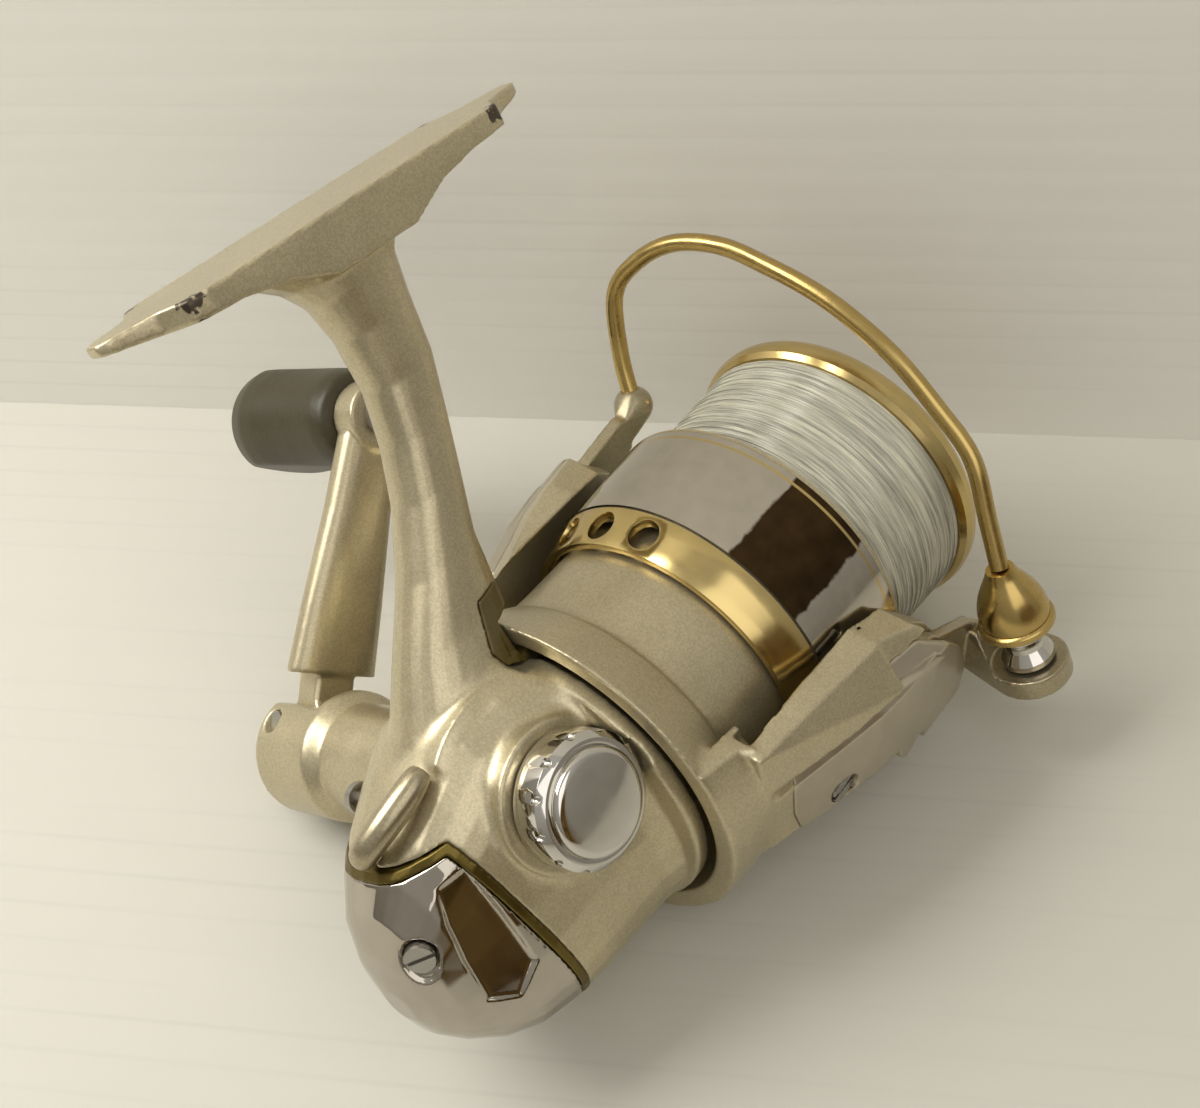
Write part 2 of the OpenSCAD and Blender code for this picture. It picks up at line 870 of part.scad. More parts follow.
roller_count = 6;
clutch_roller_r = 1.1;
clutch_roller_at = sleeve_r + 0.1 + clutch_roller_r;
module one_way_clutch() {
    color(steel)
        at_axis() {
            difference() {
                turned_x([
                    [10.6, neck_x + 0.01], [clutch_r, neck_x + 0.01], [clutch_r, clutch_x1],
                    [clutch_roller_at, clutch_x1], [clutch_roller_at, 21.2], [10.6, 21.2]
                ]);
                for (k = [0 : roller_count - 1])
                    rotate([360 * k / roller_count, 0, 0])
                        translate([0, clutch_roller_at, 0])
                            rod_x(20, clutch_x1 + 1, clutch_roller_r + seat_gap);
            }
            for (k = [0 : roller_count - 1])
                rotate([360 * k / roller_count, 0, 0])
                    translate([0, clutch_roller_at, 0])
                        rod_x(21.3, clutch_x1 - 0.2, clutch_roller_r);
        }
}

module clutch_sleeve() {
    color(steel)
        at_axis()
            tube_x(20.9, web_x0 - 0.02, shank_r + seat_gap, sleeve_r);
}

// ---- gears, shaft and slider ----

module drive_gear() {
    color(brass)
        at_axis()
            translate([0, 0, drive_z])
                difference() {
                    union() {
                        rod_y(-bearing_y1 - 0.8, bearing_y1 + 1.6, axle_r);
                        rod_y(-bearing_y0 + 0.3, spur_y0 - 0.2, axle_r + 0.4);
                        rod_y(spur_y0 - 0.3, spur_y1 + 1.9, axle_r + 0.2);
                        rod_y(face_back_y, face_web_y, face_in_r);
                        tube_y(face_back_y + 0.7, face_root_y, face_in_r - 0.6, face_out_r);
                        face_ring();
                        slab_y(spur_y0, spur_y1, [for (p = spur_points(spur_teeth, spur_module))
                            [p[0] * cos(osc_angle) - p[1] * sin(osc_angle),
                             p[0] * sin(osc_angle) + p[1] * cos(osc_angle)]]);
                    }
                    rotate([0, -crank_turn, 0])
                        block([-rod_side / 2 - run_gap, -30, -rod_side / 2 - run_gap],
                              [rod_side / 2 + run_gap, 30, rod_side / 2 + run_gap]);
                }
}

// Straight-sided teeth that stand on the disc's front, each along its radius.
module face_ring() {
    half = face_pitch * 0.165;
    slope = 0.32;
    root = half + slope * (addendum + tooth_clear + 0.2);
    tip = half - slope * addendum;
    for (k = [0 : face_teeth - 1])
        rotate([0, -mesh_angle - 360 * (k + 0.5) / face_teeth, 0])
            intersection() {
                translate([face_in_r - 0.4, 0, 0])
                    rotate([90, 0, 90])
                        linear_extrude(face_w + 0.4)
                            polygon([[face_root_y - 0.2, -root], [face_tip_y, -tip],
                                     [face_tip_y, tip], [face_root_y - 0.2, root]]);
                tube_y(face_root_y - 1, face_tip_y + 1, face_in_r, face_out_r - 0.1);
            }
}

module pinion_gear() {
    tooth_len = pinion_tooth_x1 - pinion_tooth_x0;
    half_angle = 180 / pinion_teeth;
    color(brass)
        at_axis()
            difference() {
                union() {
                    rod_x(bush_x0 - 0.2, pinion_tooth_x0 + 0.1, journal_r);
                    rod_x(pinion_tooth_x0, pinion_tooth_x1 + 0.1, pinion_root_r);
                    rod_x(pinion_tooth_x1, web_x0 - 0.2, shank_r);
                    rod_x(web_x0 - 0.3, web_x1, seat_r);
                    rod_x(web_x1 - 0.1, 32, thread_r);
                    translate([pinion_tooth_x0, 0, 0])
                        rotate([90, 0, 90])
                            linear_extrude(tooth_len, twist = -helix_rate * tooth_len, slices = 13)
                                rotate(-helix_rate * (mesh_x - pinion_tooth_x0))
                                    polygon([for (k = [0 : pinion_teeth - 1], q = [
                                        [pinion_root_r - 0.15, -0.6], [pinion_r, -0.34],
                                        [pinion_tip_r, -0.17], [pinion_tip_r, 0.17],
                                        [pinion_r, 0.34], [pinion_root_r - 0.15, 0.6]
                                    ])
                                        let (a = (2 * k + q[1]) * half_angle)
                                            q[0] * [cos(a), sin(a)]]);
                }
                rod_x(0, 40, shaft_r + run_gap);
            }
}

module oscillating_gear() {
    spin = osc_angle + 180 + 180 / osc_teeth;
    color(brass)
        at_axis()
            translate([osc_x, 0, osc_z]) {
                difference() {
                    slab_y(spur_y0, spur_y1, [for (p = spur_points(osc_teeth, spur_module))
                        [p[0] * cos(spin) - p[1] * sin(spin), p[0] * sin(spin) + p[1] * cos(spin)]]);
                    rod_y(0, 20, pin_r + run_gap);
                }
                rod_y(pin_y, spur_y0 + 0.1, pin_r, 0, -stroke);
            }
}

module oscillating_axle() {
    color(steel)
        at_axis() {
            rod_y(spur_y0 - 0.05, split_y + 1.4, pin_r, osc_x, osc_z);
            rod_y(spur_y0 - 0.65, spur_y0 - 0.04, pin_r + 0.8, osc_x, osc_z);
        }
}

module guide_rod() {
    color(steel)
        at_axis()
            translate([0, 0, guide_z])
                rod_x(-19.6, 7, guide_r);
}

module main_shaft() {
    color(steel)
        at_axis()
            rod_x(hub_x0 - 0.2, 76.2, shaft_r);
}

module oscillation_slider() {
    slot = pin_r + run_gap;
    low_z = osc_z - stroke - pin_r - 0.1;
    color(steel)
        at_axis()
            difference() {
                union() {
                    block([hub_x0, -2.2, -slider_top], [hub_x1, slider_y1, slider_top]);
                    block([hub_x0, slider_y0, -slider_top], [osc_x - slot, slider_y1, slider_top]);
                    block([osc_x - slot - slider_wall, slider_y0, low_z],
                          [osc_x + slot + slider_wall, slider_y1, slider_top]);
                    block([osc_x - slot - slider_wall, -1.8, guide_z - 1.6],
                          [osc_x + slot + slider_wall, slider_y1, guide_z + 1.6]);
                }
                block([osc_x - slot, slider_y0 + 0.4, low_z - 1], [osc_x + slot, slider_y1 + 1, 5]);
                rod_x(hub_x0 - 1, hub_x1 + 1, shaft_r + seat_gap);
                translate([0, 0, guide_z])
                    rod_x(-20, 5, guide_r + run_gap);
            }
}

click_x = 48.4;
spool_seat_x = 50.97;
module click_wheel() {
    color(steel)
        at_axis()
            difference() {
                union() {
                    rod_x(click_x, click_x + 1.4, 7.5);
                    rod_x(click_x, spool_seat_x, 3);
                }
                rod_x(40, 60, shaft_r + seat_gap);
                for (k = [0 : 23])
                    rotate([15 * k, 0, 0])
                        translate([0, 7.7, 0])
                            rod_x(40, 60, 0.6);
            }
}

// ---- rotor ----

// Outer outline of the arms and covers: x and distance from the spool's axis.
arm_outline = [
    [17.4, arm_out_r - 5.9], [29, arm_out_r - 2.6], [35, arm_out_r - 1.05], [40, arm_out_r - 0.4],
    [bail_x, arm_out_r], [52, arm_out_r], [55, arm_out_r - 0.3], [58.3, arm_out_r - 1.1]
];
// The same line one cover's thickness lower.
arm_under = [for (p = arm_outline) [p[0], p[1] - plate_t - seat_gap]];

// Arm seen from outside, half width across its length.
arm_plan = [
    [10.2, -13.5], [16, -12.6], [22, -arm_half_w + 0.4], [34, -arm_half_w], [46, -arm_half_w + 0.4],
    [52.5, -8.6], [55.4, -4.6], [55, -1.6], [51.2, 4.6], [46.4, 9.8], [40, arm_half_w],
    [22, arm_half_w + 0.2], [16, 13.2], [10.2, 14]
];

// Cover seen from outside: a lobe over the bail's pivot, a narrow tail, and a notch between them.
cover_plan = [
    [20.9, 3.3], [21, -2.4], [22, -6.2], [26.3, -6.7], [31, -6], [38.2, -6.2], [44.2, -7.6],
    [45.2, -10.4], [47.5, -11.6], [51, -10.8], [53.6, -9], [55, -6.2], [54.6, -2.6],
    [52.6, 1.4], [49.4, 5.4], [45.4, 8.4], [38, 9], [30, 8.8], [25.6, 7.8], [21.6, 5.2]
];

// Cutting solid over an outline, for everything above it.
module above(line) {
    slab_y(-20, 20, concat(line, [[line[len(line) - 1][0] + 6, line[len(line) - 1][1] - 7],
        [70, 50], [5, 50], [5, line[0][1] - 3]]));
}

// The same cut with the sloped facet along the arm's upper side.
module above_facet(line) {
    above(line);
    translate([0, 5.6, line[4][1]])
        rotate([-40, 0, 0])
            translate([0, 0, -line[4][1]])
                above(line);
}

// Slope along the arm's lower side, behind the bail's swing.
module lower_slope() {
    intersection() {
        translate([0, -6.6, arm_out_r])
            rotate([28, 0, 0])
                translate([0, 0, -arm_out_r])
                    above(arm_outline);
        block([16, -30, cup_r], [42, -6, arm_out_r + 9]);
    }
}

module plan_block(plan, d0, d1) {
    translate([0, 0, d0])
        linear_extrude(d1 - d0)
            polygon(plan);
}

// Round limit of all that turns with the rotor.
module arm_bound() {
    turned_x([
        [0, 9], [rim_r, 9], [rim_r + 0.5, 16.5], [arm_out_r - 3.8, 19], [arm_out_r + 1.1, 40],
        [arm_out_r + 1.1, 60], [0, 60]
    ]);
}

module arm_solid() {
    intersection() {
        difference() {
            plan_block(arm_plan, cup_r - 1, arm_out_r + 2.8);
            above(concat([[9, rim_r]], arm_outline));
            intersection() {
                above_facet(arm_outline);
                block([18, -30, cup_r], [62, 30, arm_out_r + 9]);
            }
            lower_slope();
        }
        arm_bound();
    }
}

// Room under the cover: a pocket behind, and all the way across where the bail turns.
module arm_pocket() {
    plan_block(
        [[26, -6.8], [33, -7.6], [33, -16], [62, -16], [62, 8.6], [34, 8.2], [26, 7.4]],
        floor_d, arm_out_r + 2.8
    );
    difference() {
        plan_block(cover_plan, cup_r, arm_out_r + 8);
        difference() {
            plan_block(cover_plan, cup_r - 10, arm_out_r + 20);
            above_facet(arm_under);
        }
    }
}

// Kick lever's rod, inside the arm's painted rim.
kick_from = [20.5, 10.2, arm_in_r - 1.5];
kick_len = 20.3;
kick_travel = 1.8;

cover_screw_x = 29;
cover_screw_e = -4.4;
cover_screw_d = floor_d + 1.6;

module rotor() {
    color(champagne)
        difference() {
            union() {
                at_axis()
                    turned_x([
                        [0, 10], [rim_r, 10], [cup_r + 1.1, 17.8], [cup_r, 18.2], [cup_r, cup_x], [0, cup_x]
                    ]);
                at_arm(arm_turn)
                    arm_solid();
                at_arm(arm_turn + 180)
                    mirror([0, 1, 0])
                        arm_solid();
            }
            at_axis() {
                turned_x([[0, 5], [flange_r + 1.4, 5], [flange_r + 1.3, flange_x], [cup_r + 0.7, 14],
                    [cup_r - cup_wall, 18], [cup_r - cup_wall, web_x0], [0, web_x0]]);
                rod_x(web_x1, 60, cup_r - cup_wall);
                tube_x(19.8, 70, cup_r, arm_in_r);
                rod_x(cup_x, 70, arm_in_r);
                rod_x(0, 60, seat_r + seat_gap);
                for (a = [0 : 60 : 300])
                    rotate([a + 30, 0, 0])
                        translate([0, 11.5, 0])
                            rod_x(20, 40, 2.6);
            }
            at_arm(arm_turn) {
                arm_pocket();
                translate(kick_from) {
                    rod_x(-kick_travel - 0.4, kick_len + 1, kick_r + run_gap);
                    block([kick_tab - kick_travel - 0.4, -0.95, 0], [kick_tab + 2, 0.95, kick_rise + 0.2]);
                }
                translate([cover_screw_x, cover_screw_e, cup_r + 0.5])
                    cylinder(h = 12, r = screw_r + seat_gap);
            }
            at_arm(arm_turn + 180) {
                mirror([0, 1, 0])
                    arm_pocket();
                translate([cover_screw_x, -cover_screw_e, cup_r + 0.5])
                    cylinder(h = 12, r = screw_r + seat_gap);
            }
            for (turn = [arm_turn, arm_turn + 180])
                at_arm(turn)
                    translate([bail_x, 0, cup_r + 0.5])
                        cylinder(h = 12, r = pivot_r + seat_gap);
        }
}

// The half-round button in the cover's notch, one step lower than the cover.
button_x = 41.9;
button_e = -8;
button_r = 2.3;
module cover_solid() {
    translate([button_x, button_e, arm_out_r - plate_t - 0.8])
        cylinder(h = plate_t, r = button_r);
    difference() {
        intersection() {
            plan_block(cover_plan, cup_r, arm_out_r + 2.8);
            arm_bound();
        }
        above_facet(arm_outline);
        difference() {
            plan_block([[10, -20], [70, -20], [70, 20], [10, 20]], 10, arm_out_r + 2.8);
            above_facet([for (p = arm_outline) [p[0], p[1] - plate_t]]);
        }
        translate([cover_screw_x, cover_screw_e, cup_r + 0.5])
            cylinder(h = 14, r = 2.2);
    }
}

module arm_cover_near() {
    color(chrome)
        at_arm(arm_turn)
            cover_solid();
}

module arm_cover_far() {
    color(chrome)
        at_arm(arm_turn + 180)
            mirror([0, 1, 0])
                cover_solid();
}

// A slotted screw along the arm frame's Z, its head's top at d1.
module arm_screw(x, e, d0, d1, shank, head, head_t) {
    translate([x, e, d0])
        cylinder(h = d1 - d0 - 0.1, r = shank);
    difference() {
        translate([x, e, d1 - head_t])
            cylinder(h = head_t, r = head);
        block([x - head, e - 0.3, d1 - 0.5], [x + head, e + 0.3, d1 + 1]);
    }
}

module arm_cover_screws() {
    color(steel) {
        at_arm(arm_turn)
            arm_screw(cover_screw_x, cover_screw_e, arm_in_r + 0.6, cover_screw_d, screw_r, 2.1, 1.3);
        at_arm(arm_turn + 180)
            arm_screw(cover_screw_x, -cover_screw_e, arm_in_r + 0.6, cover_screw_d, screw_r, 2.1, 1.3);
    }
}

module bail_pivot_screws() {
    color(steel)
        for (turn = [arm_turn, arm_turn + 180])
            at_arm(turn)
                arm_screw(bail_x, 0, arm_in_r + 0.2, bail_d1 + 0.7, pivot_r, 3.4, 0.6);
}

kick_r = 0.9;
kick_tab = 15.3;
kick_rise = 1.4;
module kick_lever() {
    color(steel)
        at_arm(arm_turn)
            translate(kick_from) {
                rod_x(0, kick_len, kick_r);
                block([kick_tab, -0.8, 0], [kick_tab + 1.6, 0.8, kick_rise]);
            }
}

spring_r = 0.7;
module bail_spring() {
    color(steel)
        at_arm(arm_turn)
            translate([0, 3.6, floor_d + spring_r + 0.2])
                loft(swept(coil_path(35.7, 0.5, 10, spring_r, 8), 0.15, 6));
}

// ---- bail ----

// Cone, roller and bracket share this axis: local Z runs from the cone's base to its tip.
cone_lean = -111.2;
roller_x = 62.7;
module at_roller() {
    at_arm(arm_turn)
        translate([roller_x, -2, 34.3])
            rotate([cone_lean, 0, 0])
                children();
}

module bail_arm() {
    color(champagne)
        difference() {
            union() {
                at_arm(arm_turn) {
                    translate([bail_x, 0, bail_d0])
                        cylinder(h = bail_t, r = 6);
                    plan_block(
                        [[bail_x - 1, -5.8], [56.8, -11.4], [61.6, -10], [61.2, -3.6], [bail_x + 1, 5.8]],
                        bail_d0, bail_d1
                    );
                }
                hull() {
                    at_arm(arm_turn)
                        plan_block(
                            [[58.6, -10.4], [61.6, -9.8], [61.3, -4], [59.4, -3.8]],
                            bail_d0 + 0.1, bail_d1 - 0.1
                        );
                    at_roller()
                        translate([0, 0, -9.4])
                            cylinder(h = 3.2, r = 5.3, $fn = 32);
                }
            }
            at_arm(arm_turn)
                translate([bail_x, 0, 20])
                    cylinder(h = 20, r = pivot_r + run_gap);
            at_roller() {
                translate([0, 0, -12])
                    cylinder(h = 8, r = screw_r + seat_gap);
                translate([0, 0, -14])
                    cylinder(h = 5.36, r = 2.2);
                translate([0, 0, -6.4])
                    cylinder(h = 6, r = cone_r + 0.2);
            }
        }
}

wire_points = [
    [60 + 0.4 * 6.9, 6.9, -28.8], [60 + 0.4 * 12.9, 12.9, -32.3], [60 + 0.4 * 20.8, 20.8, -34.8],
    [60 + 0.4 * 26.3, 26.3, -32], [60 + 0.4 * 30.5, 30.5, -26.7], [60 + 0.4 * 32.5, 32.5, -19.6],
    [60 + 0.4 * 32.4, 32.4, -12.4], [60 + 0.4 * 31.1, 31.1, -1.9], [60 + 0.4 * 27.7, 27.7, 8.7],
    [60 + 0.4 * 23.2, 23.2, 17], [60 + 0.4 * 18.9, 18.9, 23.3], [60 + 0.4 * 12.1, 12.1, 27.6],
    [roller_x, 6.8, 30.9]
];

module bail_wire() {
    color(gilt)
        at_arm(arm_turn)
            loft(swept(through(wire_points, 3), wire_r, 8));
}

module bail_lever() {
    color(champagne)
        difference() {
            union() {
                at_arm(arm_turn + 180) {
                    translate([bail_x, 0, bail_d0])
                        cylinder(h = bail_t, r = 6);
                    plan_block(
                        [[bail_x - 1, 5.8], [59.4, -1.4], [61, -6.4], [57.6, -8], [bail_x + 1, -5.8]],
                        bail_d0, bail_d1
                    );
                }
                hull() {
                    at_arm(arm_turn + 180)
                        plan_block([[59, -2.4], [60.6, -4], [60.6, -7], [58.4, -7.4]], bail_d0, bail_d1);
                    at_arm(arm_turn)
                        translate([wire_points[0][0], wire_points[0][1] - 0.6, wire_points[0][2]])
                            sphere(r = 2.9, $fn = 24);
                }
            }
            at_arm(arm_turn + 180)
                translate([bail_x, 0, 20])
                    cylinder(h = 20, r = pivot_r + run_gap);
            at_arm(arm_turn)
                loft(swept(through(wire_points, 3), wire_r + seat_gap, 8));
            at_axis()
                rod_x(40, 90, arm_in_r);
        }
}

module roller_cone() {
    color(gilt)
        difference() {
            at_roller()
                rotate_extrude()
                    polygon(concat(
                        [[0, 0]],
                        [for (t = [0 : 0.1 : 1])
                            [wire_r + 0.25 + (cone_r - wire_r - 0.25) * pow(1 - pow(t, 2.2), 0.7),
                                cone_len * t]],
                        [[0, cone_len]]
                    ));
            at_roller()
                translate([0, 0, -1])
                    cylinder(h = 4, r = screw_r + seat_gap);
            at_arm(arm_turn)
                loft(swept(through(wire_points, 3), wire_r + seat_gap, 8));
        }
}

module roller_screw() {
    color(steel)
        at_roller() {
            translate([0, 0, -8.7])
                cylinder(h = 11, r = screw_r);
            translate([0, 0, -10])
                cylinder(h = 1.35, r = 2);
        }
}

module roller_bush() {
    color(steel)
        at_roller()
            difference() {
                translate([0, 0, -6.35])
                    cylinder(h = 6.3, r = 1.9);
                translate([0, 0, -8])
                    cylinder(h = 9, r = screw_r + seat_gap);
            }
}

module line_roller() {
    color(chrome)
        at_roller()
            rotate_extrude()
                polygon([
                    [1.9 + run_gap, -5.9], [roller_r, -5.9], [roller_r, -5.1], [roller_r - 0.9, -3.6],
                    [roller_r - 0.9, -2.8], [roller_r, -1.3], [roller_r, -0.5], [1.9 + run_gap, -0.5]
                ]);
}

module rotor_nut() {
    color(steel)
        at_axis()
            difference() {
                translate([web_x1 + 0.02, 0, 0])
                    rotate([0, 90, 0])
                        cylinder(h = 3.2, r = 5.2, $fn = 6);
                rod_x(20, 40, thread_r + seat_gap);
            }
}

// ---- spool ----

ring_x1 = skirt_x + ring_w;
drum_x1 = drum_x + drum_len;
band_r = skirt_r - 0.9;
well_r = washer_r + 0.2;
stack_x = 59.5;
bush_out_r = 3.05;
felt_t = 1;
plate_thick = 0.6;
washer_gap = 0.03;
washer_pitch = felt_t + plate_thick + 2 * washer_gap;
stack_end = stack_x + 3 * washer_pitch + washer_gap;

module spool() {
    color(champagne)
        at_axis()
            difference() {
                turned_x([
                    [skirt_in_r, ring_x1 + 0.02], [band_r - 0.4, ring_x1 + 0.02], [band_r, ring_x1 + 2],
                    [band_r, drum_x - 0.8], [skirt_r, drum_x - 0.8], [skirt_r, drum_x - 0.3],
                    [skirt_r - 0.3, drum_x], [drum_r, drum_x], [drum_r, drum_x1],
                    [knob_r + 0.7, drum_x1], [knob_r + 0.7, drum_x1 - 1.6],
                    [well_r, drum_x1 - 1.6], [well_r, stack_x], [bush_out_r + seat_gap, stack_x],
                    [bush_out_r + seat_gap, drum_x - 0.3], [skirt_in_r, drum_x - 0.3]
                ]);
                // Hollow between the drum and the drag's well, open to the rear.
                turned_x([[5.2, drum_x - 1], [drum_r - 1.4, drum_x - 1], [drum_r - 1.4, drum_x1 - 3.2],
                    [well_r + 1.2, drum_x1 - 3.2], [well_r + 1.2, stack_x - 1.4], [5.2, stack_x - 1.4]]);
                // Groove of the washers' retainer.
                rod_x(stack_end, stack_end + 0.8, well_r + 0.5);
            }
}

module label_band() {
    color("#55504a")
        at_axis()
            turned_x([
                [band_r + seat_gap, ring_x1 + 2], [skirt_r - 0.55, ring_x1 + 2],
                [skirt_r - 0.55, ring_x1 + 0.3], [skirt_r, drum_x - 0.83],
                [band_r + seat_gap, drum_x - 0.83]
            ]);
}

hole_turn = 19.6;
hole_first = 111;
module skirt_ring() {
    color(gilt)
        at_axis()
            difference() {
                turned_x([
                    [skirt_in_r, skirt_x], [skirt_in_r + 0.9, skirt_x], [band_r + 0.2, ring_x1],
                    [band_r - 1, ring_x1], [skirt_in_r, skirt_x + 1.6]
                ]);
                for (side = [0, 180], k = [0 : 5])
                    rotate([side + hole_first - hole_turn * k, 0, 0])
                        translate([skirt_x + ring_w / 2, 15, 0])
                            rotate([-90, 0, 0])
                                cylinder(h = 12, r = ring_hole_r);
            }
}

lip_x = drum_x1 + 0.03;
module spool_lip() {
    color(gilt)
        at_axis()
            turned_x([
                [knob_r + 1, lip_x], [lip_r - 0.9, lip_x], [lip_r - 0.25, lip_x + 0.7],
                [lip_r, lip_x + 1.8],
                [lip_r - 0.15, lip_x + 2.9], [lip_r - 0.7, lip_x + 3.8], [lip_r - 1.5, lip_x + 4.3],
                [lip_r - 2.6, lip_x + 4.3], [lip_r - 4.4, lip_x + 3.4], [knob_r + 2.2, lip_x + 2.4],
                [knob_r + 1, lip_x + 2.2]
            ]);
}

module spool_bush() {
    color(brass)
        at_axis()
            tube_x(spool_seat_x + 0.02, stack_x - 0.02, shaft_r + run_gap, bush_out_r);
}

core_gap = 0.21;
function wound_r(x) = wound_rear_r + (wound_front_r - wound_rear_r) * (x - drum_x) / drum_len;

module line_core() {
    color(line_grey)
        at_axis()
            turned_x([
                [drum_r + seat_gap, drum_x + seat_gap],
                [wound_rear_r - line_d - core_gap, drum_x + seat_gap],
                [wound_front_r - line_d - core_gap, drum_x1 - seat_gap],
                [drum_r + seat_gap, drum_x1 - seat_gap]
            ]);
}

// The outer layer: one line from end to end, with a straight start and finish one diameter long.
line_steps = 24;
line_edge = 0.5;
line_pitch = (drum_len - 2 * line_edge) / line_turns;
line_loops = [
    for (i = [0 : line_turns * line_steps])
        let (
            x = drum_x + line_edge + line_pitch * i / line_steps,
            a = 360 * i / line_steps,
            r = wound_r(x) - line_d / 2
        )
        [x, r * cos(a), r * sin(a)]
];
line_ends = [line_loops[0], line_loops[len(line_loops) - 1]];
line_path = concat([line_ends[0] - [0, 0, line_d]], line_loops, [line_ends[1] + [0, 0, line_d]]);

module line_winding() {
    color(line_grey)
        at_axis()
            loft(swept(line_path, line_d / 2, 6));
}

// Least gap between one loop's points and the next loop's.
loop_gap = min([for (i = [0 : line_steps * 2]) min([for (k = [-3 : 3])
    norm(line_loops[i] - line_loops[i + line_steps + k])])]) - line_d;
echo(least_gap_of_the_winding = loop_gap);

module drag_felts() {
    color(felt)
        at_axis()
            for (k = [0 : 2])
                translate([stack_x + washer_gap + washer_pitch * k, 0, 0])
                    tube_x(0, felt_t, shaft_r + 0.3, washer_r);
}

module drag_plates() {
    color(steel)
        at_axis()
            for (k = [0 : 2])
                let (x = stack_x + 2 * washer_gap + felt_t + washer_pitch * k)
                tube_x(x, x + plate_thick, shaft_r + 0.2, washer_r - 0.1);
}

module drag_retainer() {
    color(steel)
        at_axis()
            difference() {
                tube_x(stack_end + 0.02, stack_end + 0.75, washer_r - 0.7, well_r + 0.4);
                block([stack_end - 1, -1.5, 0], [stack_end + 2, 1.5, 20]);
            }
}

spring_x = stack_end + 0.35;
module drag_spring() {
    color(steel)
        at_axis()
            loft(swept(coil_path(spring_x, 1, 3, 4.6, 16), 0.32, 6));
}

knob_x1 = 78.3;
module drag_knob() {
    color(champagne)
        at_axis()
            difference() {
                union() {
                    rod_x(stack_end + 0.05, 71.5, washer_r - 1);
                    turned_x([[0, 71.2], [knob_r, 71.2], [knob_r, 75.6], [knob_r - 1.4, 76.8], [0, 76.8]]);
                    block([75, -2, -9.4], [knob_x1, 2, 9.4]);
                }
                tube_x(60, 69.6, 3.2, 6.4);
                rod_x(60, 76.4, shaft_r + seat_gap);
                for (k = [0 : 11])
                    rotate([30 * k + 15, 0, 0])
                        translate([0, knob_r + 0.5, 0])
                            rod_x(70, 80, 1.1);
            }
}

// ---- handle ----

module handle_rod() {
    color(steel)
        at_crank()
            block(
                [-rod_side / 2, -bearing_y1 - 0.6, -rod_side / 2],
                [rod_side / 2, collar_y1 - 2, rod_side / 2]
            );
}

cap_y0 = -19.3;
cap_y1 = -13.9;
cap_r = 8.3;
disc_r = 6.5;
module handle_cap() {
    color(chrome)
        at_crank()
            difference() {
                rotate([0, 0, 90])
                    turned_x([
                        [0, cap_y0], [cap_r - 0.9, cap_y0], [cap_r, cap_y0 + 0.8], [cap_r, cap_y1 - 0.6],
                        [cap_r - 0.5, cap_y1], [0, cap_y1]
                    ]);
                rod_y(cap_y0 - 1, cap_y0 + 0.5, disc_r + seat_gap);
                for (k = [0 : 11])
                    rotate([0, 30 * k, 0])
                        translate([cap_r + 0.25, 0, 0])
                            rod_y(cap_y0 - 1, cap_y0 + 1.6, 0.7);
            }
    color(steel)
        at_crank()
            rod_y(cap_y1 - 0.1, -bearing_y1 - 0.82, 2.4);
}

module handle_cap_disc() {
    color(chrome)
        at_crank()
            rotate([0, 0, 90])
                turned_x([
                    [0, cap_y0 + 0.48], [disc_r, cap_y0 + 0.48], [disc_r, cap_y0 - 0.6],
                    [disc_r - 0.5, cap_y0 - 1.1], [0, cap_y0 - 1.3]
                ]);
}

collar_y0 = plate_boss_y + face_gap;
collar_y1 = 31;
joint_y1 = 46;
joint_r = 9;
hinge_u = 3.6;
joint_flat = 6.1;
tongue = 6;
module handle_joint() {
    color(champagne)
        at_crank()
            difference() {
                union() {
                    rotate([0, 0, 90])
                        turned_x([
                            [0, collar_y0], [collar_r - 0.6, collar_y0], [collar_r, collar_y0 + 0.6],
                            [collar_r, 29],
                            [collar_r + 1.5, collar_y1], [joint_r, collar_y1 + 1], [joint_r, joint_y1 - 3],
                            [joint_r - 1, joint_y1 - 1], [joint_r - 3, joint_y1], [0, joint_y1]
                        ]);
                }
                block([-rod_side / 2 - seat_gap, 0, -rod_side / 2 - seat_gap],
                      [rod_side / 2 + seat_gap, collar_y1 - 1.9, rod_side / 2 + seat_gap]);
                block([-1.2, collar_y1 + 1.4, -tongue / 2 - 0.15], [20, joint_y1 + 2, tongue / 2 + 0.15]);
                block([joint_flat, collar_y1 + 1.4, -20], [20, joint_y1 + 2, 20]);
                block([-6.4, joint_y1 - 4, -2.6], [-2.1, joint_y1 + 2, 2.6]);
                translate([hinge_u, fold_y, -20])
                    cylinder(h = 40, r = 1.5 + seat_gap);
            }
}

module handle_fold_pin() {
    color(steel)
        at_crank()
            translate([hinge_u, fold_y, -7.6])
                cylinder(h = 15.2, r = 1.5);
}

button_travel = 1.5;
module handle_release_button() {
    color(chrome)
        at_crank() {
            block([-6.25, joint_y1 - 4 + button_travel + 0.3, -2.45], [-2.25, joint_y1 + 1.9, 2.45]);
            block([-6.9, joint_y1 + button_travel + 0.2, -3.4], [-1.4, joint_y1 + 3.1, 3.4]);
        }
}

arm_tip_y = 35.8;
arm_end_t = 4.8;
function arm_mid_y(u) = fold_y + (arm_tip_y - fold_y) * (u - hinge_u) / (crank_r - hinge_u);

// Handle arm sections: distance along the arm, half width.
handle_sections = [[10.6, 6.8], [20, 6.2], [34, 5], [crank_r - 3, 4.6]];

